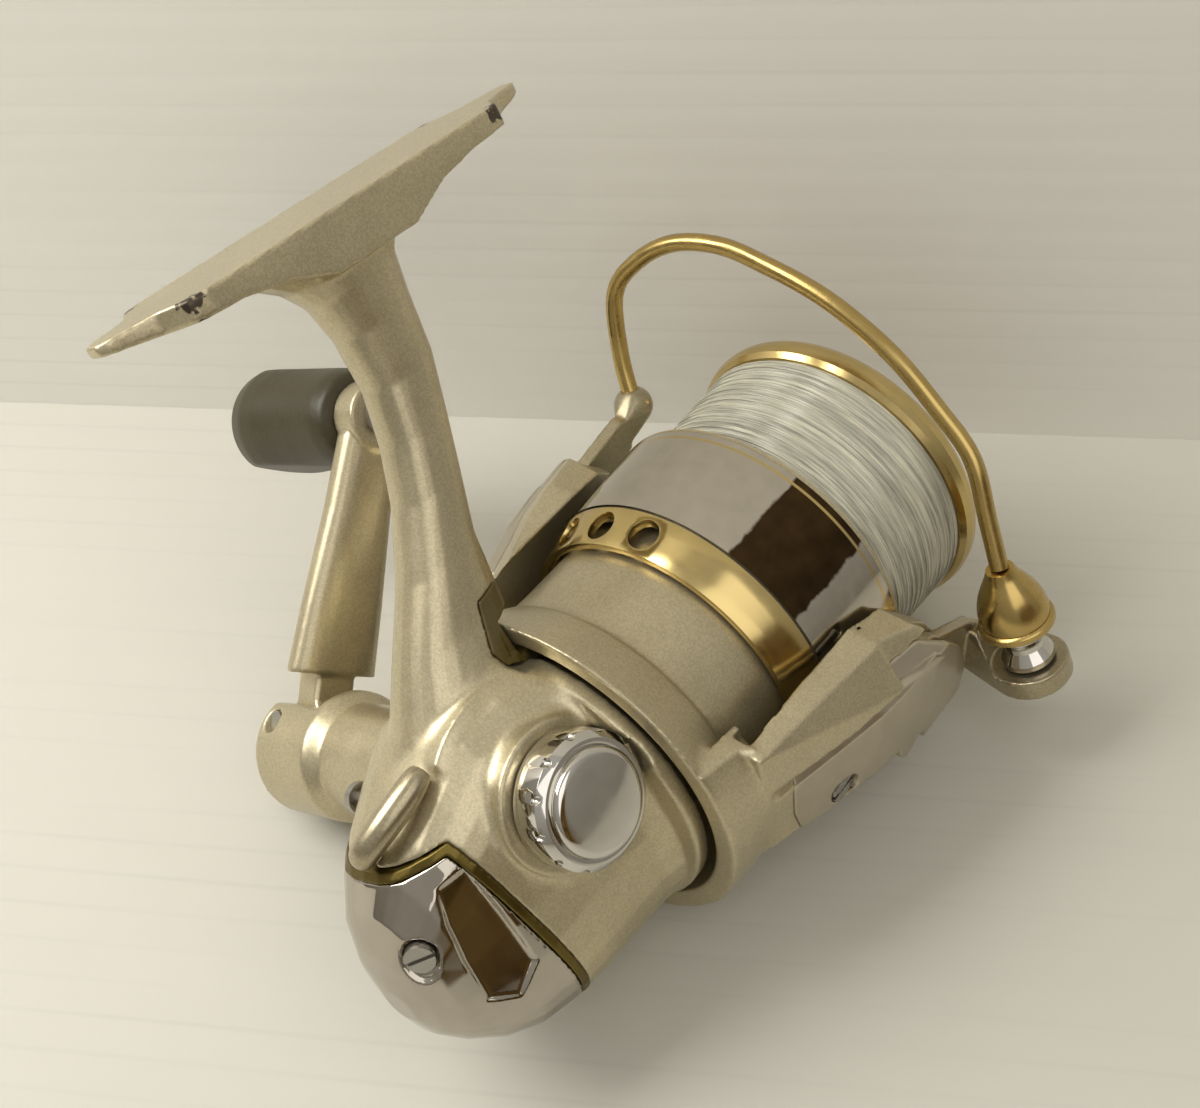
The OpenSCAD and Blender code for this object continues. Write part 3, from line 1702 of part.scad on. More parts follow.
module handle_arm() {
    color(champagne)
        at_crank()
            difference() {
                union() {
                    translate([hinge_u, fold_y, -tongue / 2])
                        cylinder(h = tongue, r = 4);
                    block([hinge_u, fold_y - 2.6, -tongue / 2], [12, fold_y + 2.6, tongue / 2]);
                    loft([for (s = handle_sections)
                        [for (p = ring_x(s[0], 0, arm_t / 2, s[1], 2.6, 24)) p + [0, arm_mid_y(s[0]), 0]]]);
                    rod_y(arm_tip_y - arm_end_t / 2, arm_tip_y + arm_end_t / 2, 5, crank_r, 0);
                }
                translate([hinge_u, fold_y, -20])
                    cylinder(h = 40, r = 1.5 + run_gap);
                rod_y(0, 60, knob_shaft_r + seat_gap, crank_r, 0);
                rod_y(arm_tip_y + arm_end_t / 2, 60, 6.4, crank_r, 0);
            }
}

grip_y0 = arm_tip_y + arm_end_t / 2 + face_gap;
grip_y1 = grip_y0 + grip_len;
rivet_y = arm_tip_y - arm_end_t / 2 - 0.02;
module knob_shaft() {
    color(steel)
        at_crank() {
            rod_y(rivet_y, grip_y1 - 1.9, knob_shaft_r, crank_r, 0);
            rod_y(rivet_y - 0.78, rivet_y, knob_shaft_r + 1, crank_r, 0);
        }
}

module handle_knob() {
    color(rubber)
        at_crank()
            translate([crank_r, 0, 0])
                difference() {
                    intersection() {
                        rotate([0, 0, 90])
                            turned_x([
                                [0, grip_y0], [5, grip_y0], [6.4, grip_y0 + 0.8], [7, grip_y0 + 3],
                                [7.3, grip_y0 + 8], [7.8, grip_y0 + 13], [grip_r - 0.2, grip_y0 + 17],
                                [grip_r, grip_y0 + 20], [grip_r - 0.8, grip_y1 - 2.4],
                                [grip_r - 2.2, grip_y1 - 0.8], [grip_r - 4, grip_y1], [0, grip_y1]
                            ]);
                        block([-grip_flat / 2, 0, -20], [grip_flat / 2, 80, 20]);
                    }
                    rod_y(0, grip_y1 + 1, knob_shaft_r + run_gap);
                    rod_y(grip_y1 - 1.6, grip_y1 + 1, 3.2 + seat_gap);
                }
}

module knob_cap() {
    color(steel)
        at_crank()
            rod_y(grip_y1 - 1.58, grip_y1 + 0.2, 3.2, crank_r, 0);
}

body();
side_plate();
side_plate_screws();
rear_cover();
rear_cover_trim();
rear_cover_screw();
trip_insert();
anti_reverse_lever();
drive_bearings();
pinion_bearing();
pinion_bush();
bearing_retainer();
retainer_screws();
one_way_clutch();
guide_rod();
oscillating_axle();
drive_gear();
handle_rod();
handle_cap();
handle_cap_disc();
handle_joint();
handle_fold_pin();
handle_release_button();
handle_arm();
knob_shaft();
handle_knob();
knob_cap();
oscillating_gear();
main_shaft();
oscillation_slider();
click_wheel();
pinion_gear();
clutch_sleeve();
rotor();
rotor_nut();
arm_cover_near();
arm_cover_far();
arm_cover_screws();
bail_pivot_screws();
bail_spring();
kick_lever();
bail_arm();
bail_lever();
bail_wire();
roller_cone();
roller_screw();
line_roller();
roller_bush();
spool();
label_band();
skirt_ring();
spool_lip();
spool_bush();
line_core();
line_winding();
drag_felts();
drag_plates();
drag_retainer();
drag_spring();
drag_knob();
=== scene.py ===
"""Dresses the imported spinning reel: smooth castings, plated trim, wound line and a plain studio."""

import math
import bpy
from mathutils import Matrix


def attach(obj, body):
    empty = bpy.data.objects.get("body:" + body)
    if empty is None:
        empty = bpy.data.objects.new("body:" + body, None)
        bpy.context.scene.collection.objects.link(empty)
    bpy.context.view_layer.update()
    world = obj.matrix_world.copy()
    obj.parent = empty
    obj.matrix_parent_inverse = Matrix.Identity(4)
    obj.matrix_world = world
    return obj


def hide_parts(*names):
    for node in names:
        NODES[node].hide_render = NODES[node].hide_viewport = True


bl_info = {
    "name": "Spinning reel",
    "version": (1, 0, 0),
    "blender": (4, 5, 0),
    "location": "View3D > Sidebar > Reel",
    "description": "Builds the visible pieces of a front-drag spinning reel round its solids",
    "category": "Object",
}

import bmesh
import bpy
from mathutils import Matrix, Vector

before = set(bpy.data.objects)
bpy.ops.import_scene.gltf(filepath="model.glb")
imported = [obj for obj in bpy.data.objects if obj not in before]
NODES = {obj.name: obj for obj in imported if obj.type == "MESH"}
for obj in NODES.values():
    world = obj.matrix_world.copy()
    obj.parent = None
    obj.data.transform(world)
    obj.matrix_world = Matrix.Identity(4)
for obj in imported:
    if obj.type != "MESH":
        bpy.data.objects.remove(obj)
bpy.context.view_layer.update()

# The drawing frame of every piece, in millimetres: X is the spool's axis, +Y the handle's side,
# and the origin lies below the crank's axis.
TILT = 5.0
FOOT_AHEAD = 22.3
AXIS_DROP = 76.0
MM = 0.001


def turn(degrees, axis):
    """A turn about one axis."""
    return Matrix.Rotation(math.radians(degrees), 4, axis)


def shift(x, y, z):
    """A move."""
    return Matrix.Translation((x, y, z))


AXIS = Matrix.Scale(MM, 4) @ turn(-TILT, "Y") @ shift(-FOOT_AHEAD, 0, -AXIS_DROP)
FROM_WORLD = AXIS.inverted()
# The frames of the rotor's two arms, the crank and the roller, from the drawing frame.
ARM_TURN = -150.0
ARM = turn(ARM_TURN - 90, "X")
FAR_ARM = turn(ARM_TURN + 90, "X")
# Carries a point of the near arm to the same place on the far one.
TO_FAR = FAR_ARM @ Matrix.Scale(-1, 4, (0, 1, 0)) @ ARM.inverted()
CRANK = shift(0, 0, 7.2) @ turn(-45, "Y")
ROLLER = ARM @ shift(62.7, -2, 34.3) @ turn(-111.2, "X")


# ---- sizes and colours ----


class ReelSizes(bpy.types.PropertyGroup):
    """Sizes that a user would change."""

    line_diameter: bpy.props.FloatProperty(
        name="Line", description="Diameter of the wound line, in millimetres",
        default=0.21, min=0.16, max=0.3
    )
    wire_radius: bpy.props.FloatProperty(
        name="Bail wire", description="Radius of the bail wire, in millimetres",
        default=1.25, min=1.0, max=1.4
    )
    grain: bpy.props.FloatProperty(
        name="Casting grain", description="Step of the castings' skin, in millimetres",
        default=0.36, min=0.3, max=1.0
    )


def paint(name, default, what):
    """A colour that a user can set."""
    return bpy.props.StringProperty(name=name, description=what, default=default)


class ReelColours(bpy.types.PropertyGroup):
    """Colours as sRGB hex values."""

    champagne: paint("Paint", "#C0B596", "Metallic paint of the castings")
    gilt: paint("Gilt", "#CDB67C", "Gold-coloured anodised and plated trim")
    chrome: paint("Chrome", "#D2CEC7", "Bright plating")
    nickel: paint("Satin nickel", "#C2B9A6", "Satin plating of the arm covers")
    olive: paint("Olive", "#6A5C30", "Olive trim")
    rubber: paint("Knob", "#3A331E", "Soft rubber of the knob")
    line: paint("Line", "#D2CFBD", "Clear nylon line")
    floor: paint("Floor", "#CCC9BE", "Pale paper under the reel")
    wall: paint("Wall", "#ECEAE3", "Pale paper behind the reel")


def sizes():
    """The scene's sizes."""
    return bpy.context.scene.reel_sizes


def hue(name):
    """One of the scene's colours."""
    return linear(getattr(bpy.context.scene.reel_colours, name))


def linear(hex_value):
    """An sRGB hex value as linear red, green, blue and alpha."""
    parts = [int(hex_value[i : i + 2], 16) / 255 for i in (1, 3, 5)]
    return tuple(c / 12.92 if c <= 0.04045 else ((c + 0.055) / 1.055) ** 2.4 for c in parts) + (1.0,)


def toned(colour, factor):
    """The same colour, lighter or darker."""
    return tuple(min(1.0, c * factor) for c in colour[:3]) + (1.0,)


# ---- materials ----


def add(material, kind, settings=(), **links):
    """Adds a node; settings go to its attributes, links to its inputs as values, nodes or sockets."""
    tree = material.node_tree
    node = tree.nodes.new(kind)
    for key, value in dict(settings).items():
        setattr(node, key, value)
    for key, value in links.items():
        socket = node.inputs[int(key[1:])] if key[0] == "_" else node.inputs[key.replace("_", " ")]
        if isinstance(value, bpy.types.Node):
            value = value.outputs[0]
        if isinstance(value, bpy.types.NodeSocket):
            tree.links.new(value, socket)
        else:
            socket.default_value = value
    return node


def new_material(name):
    """An empty node material."""
    material = bpy.data.materials.new(name)
    material.use_nodes = True
    material.node_tree.nodes.clear()
    return material


def drawing_coordinates(material):
    """Millimetres in the drawing frame."""
    place = add(material, "ShaderNodeTexCoord").outputs["Object"]
    return add(
        material, "ShaderNodeMapping", Vector=place, Location=(FOOT_AHEAD, 0, AXIS_DROP),
        Rotation=(0, math.radians(TILT), 0), Scale=(1000, 1000, 1000)
    )


def flake_lacquer(name, colour, rough=0.34, metal=0.82, bare=None):
    """Metallic lacquer on cast metal: fine flakes with painted glints in a warm satin coat; bare is where it
    is worn off.
    """
    material = new_material(name)
    place = drawing_coordinates(material)
    # Flakes of about 0.2 mm, each a little lighter or darker than the next: painted glints of the flakes.
    flakes = add(material, "ShaderNodeTexVoronoi", Vector=place, Scale=4.5)
    painted_glint = add(material, "ShaderNodeMapRange", Value=flakes.outputs["Color"], _1=0.2, _2=0.8, _3=0.9, _4=1.1)
    cloud = add(material, "ShaderNodeTexNoise", Vector=place, Scale=0.15, Detail=3.0)
    drift = add(material, "ShaderNodeMapRange", Value=cloud, _1=0.3, _2=0.7, _3=0.95, _4=1.05)
    shade = add(material, "ShaderNodeMath", {"operation": "MULTIPLY"}, _0=painted_glint, _1=drift)
    tint = add(material, "ShaderNodeMix", {"data_type": "RGBA", "blend_type": "MULTIPLY"},
               _0=1.0, _6=colour, _7=shade).outputs[2]
    gloss = add(material, "ShaderNodeMapRange", Value=cloud, _1=0.3, _2=0.7, _3=rough, _4=rough + 0.06)
    if bare:
        # The corners where the paint has chipped to dark metal.
        centre, corner, reach = bare
        from_centre = add(material, "ShaderNodeVectorMath", {"operation": "SUBTRACT"}, _0=place, _1=centre)
        folded = add(material, "ShaderNodeVectorMath", {"operation": "ABSOLUTE"}, _0=from_centre)
        away = add(material, "ShaderNodeVectorMath", {"operation": "DISTANCE"},
                   _0=folded, _1=corner).outputs[1]
        chips = add(material, "ShaderNodeTexNoise", Vector=place, Scale=0.9, Detail=4.0)
        ragged = add(material, "ShaderNodeMath", {"operation": "MULTIPLY_ADD"}, _0=chips, _1=4.0, _2=away)
        worn = add(material, "ShaderNodeMapRange", Value=ragged, _1=reach + 2.3, _2=reach + 2.0)
        tint = add(material, "ShaderNodeMix", {"data_type": "RGBA"}, _0=worn, _6=tint,
                   _7=linear("#4A4034")).outputs[2]
    grain = add(material, "ShaderNodeTexNoise", Vector=place, Scale=4.0, Detail=2.0)
    relief = add(material, "ShaderNodeBump", Height=grain, Strength=0.2, Distance=0.04 * MM)
    coat = add(material, "ShaderNodeBsdfPrincipled", Base_Color=tint, Metallic=metal, Roughness=gloss,
               Coat_Weight=0.25, Coat_Roughness=0.18, Normal=relief)
    add(material, "ShaderNodeOutputMaterial", Surface=coat)
    return material


def plated(name, colour, rough, smudge=0.04, brushed=None, marks=0.0):
    """Plated or polished metal: clean reflections, with faint smudges that change its gloss."""
    material = new_material(name)
    place = drawing_coordinates(material)
    haze = add(material, "ShaderNodeTexNoise", Vector=place, Scale=0.3, Detail=5.0)
    gloss = add(material, "ShaderNodeMapRange", Value=haze, _1=0.3, _2=0.7, _3=rough, _4=rough + smudge)
    light = add(material, "ShaderNodeMapRange", Value=haze, _1=0.25, _2=0.75)
    tint = add(material, "ShaderNodeMix", {"data_type": "RGBA"}, _0=light, _6=toned(colour, 0.93),
               _7=toned(colour, 1.05)).outputs[2]
    metal = add(material, "ShaderNodeBsdfPrincipled", Base_Color=tint, Metallic=1.0, Roughness=gloss)
    if brushed:
        # Brushing marks 0.1 mm apart, long in the direction of the work.
        drawn = add(material, "ShaderNodeMapping", Vector=place, Scale=brushed)
        lines = add(material, "ShaderNodeTexNoise", Vector=drawn, Scale=1.0, Detail=3.0)
        relief = add(material, "ShaderNodeBump", Height=lines, Strength=0.15, Distance=0.04 * MM)
        material.node_tree.links.new(relief.outputs[0], metal.inputs["Normal"])
    elif marks:
        # Wear from use: shallow dints and rubs about half a millimetre across.
        dints = add(material, "ShaderNodeTexNoise", Vector=place, Scale=2.0, Detail=6.0)
        relief = add(material, "ShaderNodeBump", Height=dints, Strength=marks, Distance=0.03 * MM)
        material.node_tree.links.new(relief.outputs[0], metal.inputs["Normal"])
    add(material, "ShaderNodeOutputMaterial", Surface=metal)
    return material


def moulded(name, colour, rough=0.45, depth=0.04, scale=3.0):
    """Moulded plastic, rubber or felt: a fine skin with soft gloss."""
    material = new_material(name)
    place = drawing_coordinates(material)
    skin = add(material, "ShaderNodeTexNoise", Vector=place, Scale=scale, Detail=4.0)
    light = add(material, "ShaderNodeMapRange", Value=skin, _1=0.3, _2=0.7)
    tint = add(material, "ShaderNodeMix", {"data_type": "RGBA"}, _0=light, _6=toned(colour, 0.85),
               _7=toned(colour, 1.12)).outputs[2]
    relief = add(material, "ShaderNodeBump", Height=skin, Strength=0.4, Distance=depth * MM)
    body = add(material, "ShaderNodeBsdfPrincipled", Base_Color=tint, Roughness=rough, Normal=relief)
    add(material, "ShaderNodeOutputMaterial", Surface=body)
    return material


def nylon_line(name, colour):
    """Clear nylon line: glossy, with painted light and shade in fine rings round the drum, lighter and darker
    by noise.
    """
    material = new_material(name)
    place = drawing_coordinates(material)
    drawn = add(material, "ShaderNodeMapping", Vector=place, Scale=(2.6, 0.12, 0.12))
    # Painted light and shade: noise rings along the drum make the line lighter and darker.
    shaded_bands = add(material, "ShaderNodeTexNoise", Vector=drawn, Scale=1.0, Detail=4.0)
    light = add(material, "ShaderNodeMapRange", Value=shaded_bands, _1=0.32, _2=0.68)
    tint = add(material, "ShaderNodeMix", {"data_type": "RGBA"}, _0=light, _6=toned(colour, 0.55),
               _7=toned(colour, 1.2)).outputs[2]
    nylon = add(material, "ShaderNodeBsdfPrincipled", Base_Color=tint, Roughness=0.2, IOR=1.53,
                Coat_Weight=0.5, Coat_Roughness=0.08, Subsurface_Weight=0.1,
                Subsurface_Radius=(0.001, 0.001, 0.0008))
    add(material, "ShaderNodeOutputMaterial", Surface=nylon)
    return material


def label_foil(name, chrome, gilt):
    """Mirror foil under clear film: worn silver, a painted brown reflection on the side facing the camera and
    one plain gilt line.
    """
    material = new_material(name)
    place = drawing_coordinates(material)
    along, across, up = add(material, "ShaderNodeSeparateXYZ", Vector=place).outputs
    # The painted brown reflection covers 30 degrees round the axis, on the side facing the camera, with
    # ragged edges.
    angle = add(material, "ShaderNodeMath", {"operation": "ARCTAN2"}, _0=up, _1=across)
    degrees = add(material, "ShaderNodeMath", {"operation": "MULTIPLY"}, _0=angle, _1=180 / math.pi)
    wear_and_reflection = add(material, "ShaderNodeTexNoise", Vector=place, Scale=0.35, Detail=6.0)
    uneven = add(material, "ShaderNodeMath", {"operation": "MULTIPLY_ADD"}, _0=wear_and_reflection, _1=5.0, _2=degrees)
    low = add(material, "ShaderNodeMapRange", Value=uneven, _1=141, _2=142)
    high = add(material, "ShaderNodeMapRange", Value=uneven, _1=171, _2=172)
    reflection_patch = add(material, "ShaderNodeMath", {"operation": "SUBTRACT"}, _0=low, _1=high)
    # The painted reflection's brown, mottled by the same noise that wears the silver.
    reflection_brown = add(material, "ShaderNodeMix", {"data_type": "RGBA"}, _0=wear_and_reflection, _6=linear("#241A10"),
                _7=linear("#57442C")).outputs[2]
    rubbed = add(material, "ShaderNodeMapRange", Value=wear_and_reflection, _1=0.2, _2=0.8)
    silver = add(material, "ShaderNodeMix", {"data_type": "RGBA"}, _0=rubbed, _6=toned(chrome, 0.88),
                 _7=toned(chrome, 1.05)).outputs[2]
    face = add(material, "ShaderNodeMix", {"data_type": "RGBA"}, _0=reflection_patch, _6=silver, _7=reflection_brown).outputs[2]
    line_rear = add(material, "ShaderNodeMapRange", Value=along, _1=49.1, _2=49.2)
    line_front = add(material, "ShaderNodeMapRange", Value=along, _1=49.5, _2=49.6)
    line = add(material, "ShaderNodeMath", {"operation": "SUBTRACT"}, _0=line_rear, _1=line_front)
    face = add(material, "ShaderNodeMix", {"data_type": "RGBA"}, _0=line, _6=face, _7=gilt).outputs[2]
    gloss = add(material, "ShaderNodeMapRange", Value=wear_and_reflection, _1=0.45, _2=0.7, _3=0.08, _4=0.18)
    relief = add(material, "ShaderNodeBump", Height=wear_and_reflection, Strength=0.05, Distance=0.06 * MM)
    foil = add(material, "ShaderNodeBsdfPrincipled", Base_Color=face, Metallic=1.0, Roughness=gloss,
               Normal=relief)
    add(material, "ShaderNodeOutputMaterial", Surface=foil)
    return material


def ribbed_paper(name, colour):
    """Matt ribbed paper: faint broken ribs about 5 mm apart with painted shade in their grooves, and a soft
    tooth.
    """
    material = new_material(name)
    place = add(material, "ShaderNodeTexCoord").outputs["UV"]
    ribs = add(material, "ShaderNodeTexWave", {"bands_direction": "Y"}, Vector=place, Scale=1.0,
               Distortion=0.8, Detail=2.0)
    broken = add(material, "ShaderNodeTexNoise", Vector=place, Scale=0.7, Detail=3.0)
    # Painted shade: the paper is darkened along the bottom of each rib's groove, broken by noise.
    groove_shade_line = add(material, "ShaderNodeMapRange", Value=ribs, _1=0.0, _2=0.07, _3=0.05, _4=0.0)
    faint = add(material, "ShaderNodeMapRange", Value=broken, _1=0.4, _2=0.6)
    rib = add(material, "ShaderNodeMath", {"operation": "MULTIPLY"}, _0=groove_shade_line, _1=faint)
    tooth = add(material, "ShaderNodeTexNoise", Vector=place, Scale=3.0, Detail=4.0)
    tone = add(material, "ShaderNodeMapRange", Value=tooth, _1=0.3, _2=0.7, _3=0.985, _4=1.0)
    shade = add(material, "ShaderNodeMath", {"operation": "SUBTRACT"}, _0=tone, _1=rib)
    tint = add(material, "ShaderNodeMix", {"data_type": "RGBA", "blend_type": "MULTIPLY"},
               _0=1.0, _6=colour, _7=shade).outputs[2]
    relief = add(material, "ShaderNodeBump", Height=ribs, Strength=0.1, Distance=0.2 * MM)
    paper = add(material, "ShaderNodeBsdfPrincipled", Base_Color=tint, Roughness=0.85, Normal=relief)
    # Seen from behind, the sheet is clear, so it never hides the reel.
    clear = add(material, "ShaderNodeBsdfTransparent")
    behind = add(material, "ShaderNodeNewGeometry").outputs["Backfacing"]
    sheet = add(material, "ShaderNodeMixShader", _0=behind, _1=paper, _2=clear)
    add(material, "ShaderNodeOutputMaterial", Surface=sheet)
    return material


FINISHES = {}


def finish(key):
    """The named finish, made on first use."""
    if key not in FINISHES:
        FINISHES[key] = {
            "champagne_lacquer": lambda: flake_lacquer("champagne_lacquer", hue("champagne")),
            "foot_lacquer": lambda: flake_lacquer(
                "foot_lacquer", hue("champagne"), bare=((FOOT_AHEAD, 0, AXIS_DROP), (23.5, 7.8, 2.6), 1.6)),
            "fine_lacquer": lambda: flake_lacquer("fine_lacquer", linear("#ABA084"), 0.28, 0.88),
            "gilt_anodised": lambda: plated("gilt_anodised", hue("gilt"), 0.16, 0.08, marks=0.05),
            "gilt_plate": lambda: plated("gilt_plate", linear("#BFA568"), 0.2, 0.12, marks=0.1),
            "bright_chrome": lambda: plated("bright_chrome", hue("chrome"), 0.05, 0.06),
            "tail_chrome": lambda: plated("tail_chrome", linear("#B3ACA0"), 0.05, 0.05),
            "satin_nickel": lambda: plated("satin_nickel", hue("nickel"), 0.3, 0.08, marks=0.12),
            "turned_steel": lambda: plated(
                "turned_steel", linear("#A9A6A0"), 0.25, 0.1, brushed=(9, 0.4, 0.4)),
            "brass_gear": lambda: plated("brass_gear", linear("#B4944A"), 0.3, 0.1, brushed=(6, 1, 1)),
            "spring_steel": lambda: plated("spring_steel", linear("#8F8D88"), 0.2, 0.1),
            "olive_plate": lambda: plated("olive_plate", hue("olive"), 0.28, 0.1),
            "olive_plastic": lambda: moulded("olive_plastic", toned(hue("olive"), 0.7), 0.35),
            "soft_rubber": lambda: moulded("soft_rubber", hue("rubber"), 0.42, 0.1, 1.5),
            "wool_felt": lambda: moulded("wool_felt", linear("#CFC8B6"), 0.9, 0.3, 2.0),
            "nylon_line": lambda: nylon_line("nylon_line", hue("line")),
            "label_foil": lambda: label_foil("label_foil", linear("#C6BFB2"), hue("gilt")),
        }[key]()
    return FINISHES[key]


# ---- mesh work ----

# Most triangles in one casting.
FACE_LIMIT = 180000
# Points nearer than this, in millimetres, become one.
MERGE = 0.0005
# How far off an outline's plane, in millimetres, and how much turned from it the skin may still sink.
SINK_REACH = 2.5
SINK_FACING = 0.3


def temporary(bm):
    """Puts a mesh into a scratch object."""
    mesh = bpy.data.meshes.new("work")
    bm.to_mesh(mesh)
    bm.free()
    thing = bpy.data.objects.new("work", mesh)
    bpy.context.scene.collection.objects.link(thing)
    return thing


def cleared(thing):
    """Removes a scratch object with its mesh."""
    mesh = thing.data
    bpy.data.objects.remove(thing)
    bpy.data.meshes.remove(mesh)


def with_modifiers(bm, *modifiers):
    """The mesh after modifiers, each a type with its settings."""
    thing = temporary(bm)
    for kind, settings in modifiers:
        modifier = thing.modifiers.new(kind.title(), kind)
        for key, value in settings.items():
            setattr(modifier, key, value)
    bpy.context.view_layer.update()
    done = bmesh.new()
    done.from_object(thing, bpy.context.evaluated_depsgraph_get())
    cleared(thing)
    return done


def joined(bm, tool, operation="DIFFERENCE"):
    """One boolean step with another mesh."""
    other = temporary(tool)
    done = with_modifiers(bm, ("BOOLEAN", {"object": other, "operation": operation, "solver": "EXACT"}))
    cleared(other)
    return done


def copy_of(*nodes):
    """Merged copy of CAD solids, in the drawing frame."""
    bm = bmesh.new()
    for node in nodes:
        bm.from_mesh(NODES[node].data)
    bm.transform(FROM_WORLD)
    bmesh.ops.remove_doubles(bm, verts=bm.verts, dist=MERGE)
    return bm


def cast_skin(bm, step, rounds, zones=()):
    """An even skin on a form, its edges a little rounded; zones are (test, rounds) with wider fillets."""
    form = temporary(bm.copy())
    bm = with_modifiers(
        bm, ("REMESH", {"mode": "VOXEL", "voxel_size": step}),
        ("SHRINKWRAP", {"target": form, "wrap_method": "NEAREST_SURFACEPOINT"}))
    cleared(form)
    relax(bm, bm.verts, rounds)
    if len(bm.faces) > FACE_LIMIT / 2:
        bm = with_modifiers(bm, ("DECIMATE", {"ratio": FACE_LIMIT / 2 / len(bm.faces)}))
    bm.normal_update()
    for test, more in zones:
        fill(bm, [v for v in bm.verts if test(v.co, v.normal)], more)
    return bm


def relax(bm, verts, rounds):
    """Smooths some vertices a few times."""
    verts = list(verts)
    for _ in range(rounds):
        bmesh.ops.smooth_vert(bm, verts=verts, factor=0.5, use_axis_x=True, use_axis_y=True, use_axis_z=True)


def fill(bm, verts, rounds):
    """Fills hollow corners with wide fillets; the skin only moves outward, so no wall gets thinner."""
    for _ in range(rounds):
        before = [(v, v.co.copy(), v.normal.copy()) for v in verts]
        relax(bm, verts, 1)
        for vert, place, normal in before:
            if (vert.co - place).dot(normal) < 0:
                vert.co = place
        bm.normal_update()


def inside(outline, x, y):
    """How far a point lies inside a closed outline; below zero outside it."""
    within = False
    nearest = 1e9
    for (ax, ay), (bx, by) in zip(outline, outline[1:] + outline[:1]):
        if (ay > y) != (by > y) and x < (bx - ax) * (y - ay) / (by - ay) + ax:
            within = not within
        part = ((x - ax) * (bx - ax) + (y - ay) * (by - ay)) / ((bx - ax) ** 2 + (by - ay) ** 2)
        part = max(0.0, min(1.0, part))
        nearest = min(nearest, math.hypot(x - ax - part * (bx - ax), y - ay - part * (by - ay)))
    return nearest if within else -nearest


def sink(bm, corners, out, depth, slope, flat=0.0):
    """Sinks the skin inside an outline of points on it, sloped at the edge; flat levels the floor."""
    corners = [Vector(c) for c in corners]
    centre = sum(corners, Vector()) / len(corners)
    normal = Vector()
    for a, b in zip(corners, corners[1:] + corners[:1]):
        normal += (a - centre).cross(b - centre)
    normal.normalize()
    if normal.dot(Vector(out)) < 0:
        normal.negate()
    first = (corners[0] - centre - normal * (corners[0] - centre).dot(normal)).normalized()
    second = normal.cross(first)
    outline = [((c - centre).dot(first), (c - centre).dot(second)) for c in corners]
    reach = max(math.hypot(x, y) for x, y in outline)
    bm.normal_update()
    for vert in bm.verts:
        offset = vert.co - centre
        if offset.length > reach + 1 or abs(offset.dot(normal)) > SINK_REACH:
            continue
        if vert.normal.dot(normal) < SINK_FACING:
            continue
        part = max(0.0, min(1.0, inside(outline, offset.dot(first), offset.dot(second)) / slope))
        drop = depth + flat * offset.dot(normal)
        vert.co -= normal * max(0.0, drop) * part * part * (3 - 2 * part)


def oval(centre, out, lean, wide, tall):
    """Points round an oval that faces out, its tall way along lean."""
    out = Vector(out).normalized()
    tall_way = (Vector(lean) - out * Vector(lean).dot(out)).normalized()
    wide_way = tall_way.cross(out)
    return [Vector(centre) + wide_way * wide * math.cos(a) + tall_way * tall * math.sin(a)
            for a in (math.tau * k / 16 for k in range(16))]


def turned(profile, steps=96, closed=True):
    """A profile of (radius, x) points turned about the X axis."""
    bm = bmesh.new()
    ring = [bm.verts.new((x, r, 0)) for r, x in profile]
    pairs = list(zip(ring, ring[1:])) + ([(ring[-1], ring[0])] if closed else [])
    edges = [bm.edges.new(pair) for pair in pairs]
    bmesh.ops.spin(bm, geom=ring + edges, cent=(0, 0, 0), axis=(1, 0, 0), angle=math.tau, steps=steps,
                   use_merge=True)
    bmesh.ops.remove_doubles(bm, verts=bm.verts, dist=MERGE)
    bmesh.ops.recalc_face_normals(bm, faces=bm.faces)
    return bm


def rounded(bm, width, segments=2):
    """Small even rounds on every sharp edge."""
    return with_modifiers(bm, ("BEVEL", {
        "width": width, "segments": segments, "limit_method": "ANGLE", "angle_limit": math.radians(32),
        "profile": 0.5, "harden_normals": False, "miter_outer": "MITER_ARC"}))


def put(bm, name, body, key, replaces=(), place=None, sharp=40):
    """Makes a finished piece of a mesh in the drawing frame."""
    bm.transform(AXIS @ place if place else AXIS)
    mesh = bpy.data.meshes.new(name)
    bm.to_mesh(mesh)
    bm.free()
    mesh.materials.append(finish(key))
    for polygon in mesh.polygons:
        polygon.use_smooth = True
    mesh.set_sharp_from_angle(angle=math.radians(sharp))
    piece = bpy.data.objects.new(name, mesh)
    bpy.context.scene.collection.objects.link(piece)
    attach(piece, body)
    if replaces:
        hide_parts(*replaces)
    return piece


def dress(key, *nodes):
    """Gives CAD solids a finish as they are."""
    for node in nodes:
        mesh = NODES[node].data
        mesh.materials.clear()
        mesh.materials.append(finish(key))


def catmull(points, steps):
    """A smooth curve through given points."""
    points = [Vector(p) for p in points]
    path = []
    for i in range(len(points) - 1):
        a, b, c, d = (points[max(i - 1, 0)], points[i], points[i + 1], points[min(i + 2, len(points) - 1)])
        for k in range(steps):
            t = k / steps
            path.append(0.5 * (2 * b + (c - a) * t + (2 * a - 5 * b + 4 * c - d) * t * t
                               + (3 * b - a - 3 * c + d) * t ** 3))
    return path + [points[-1]]


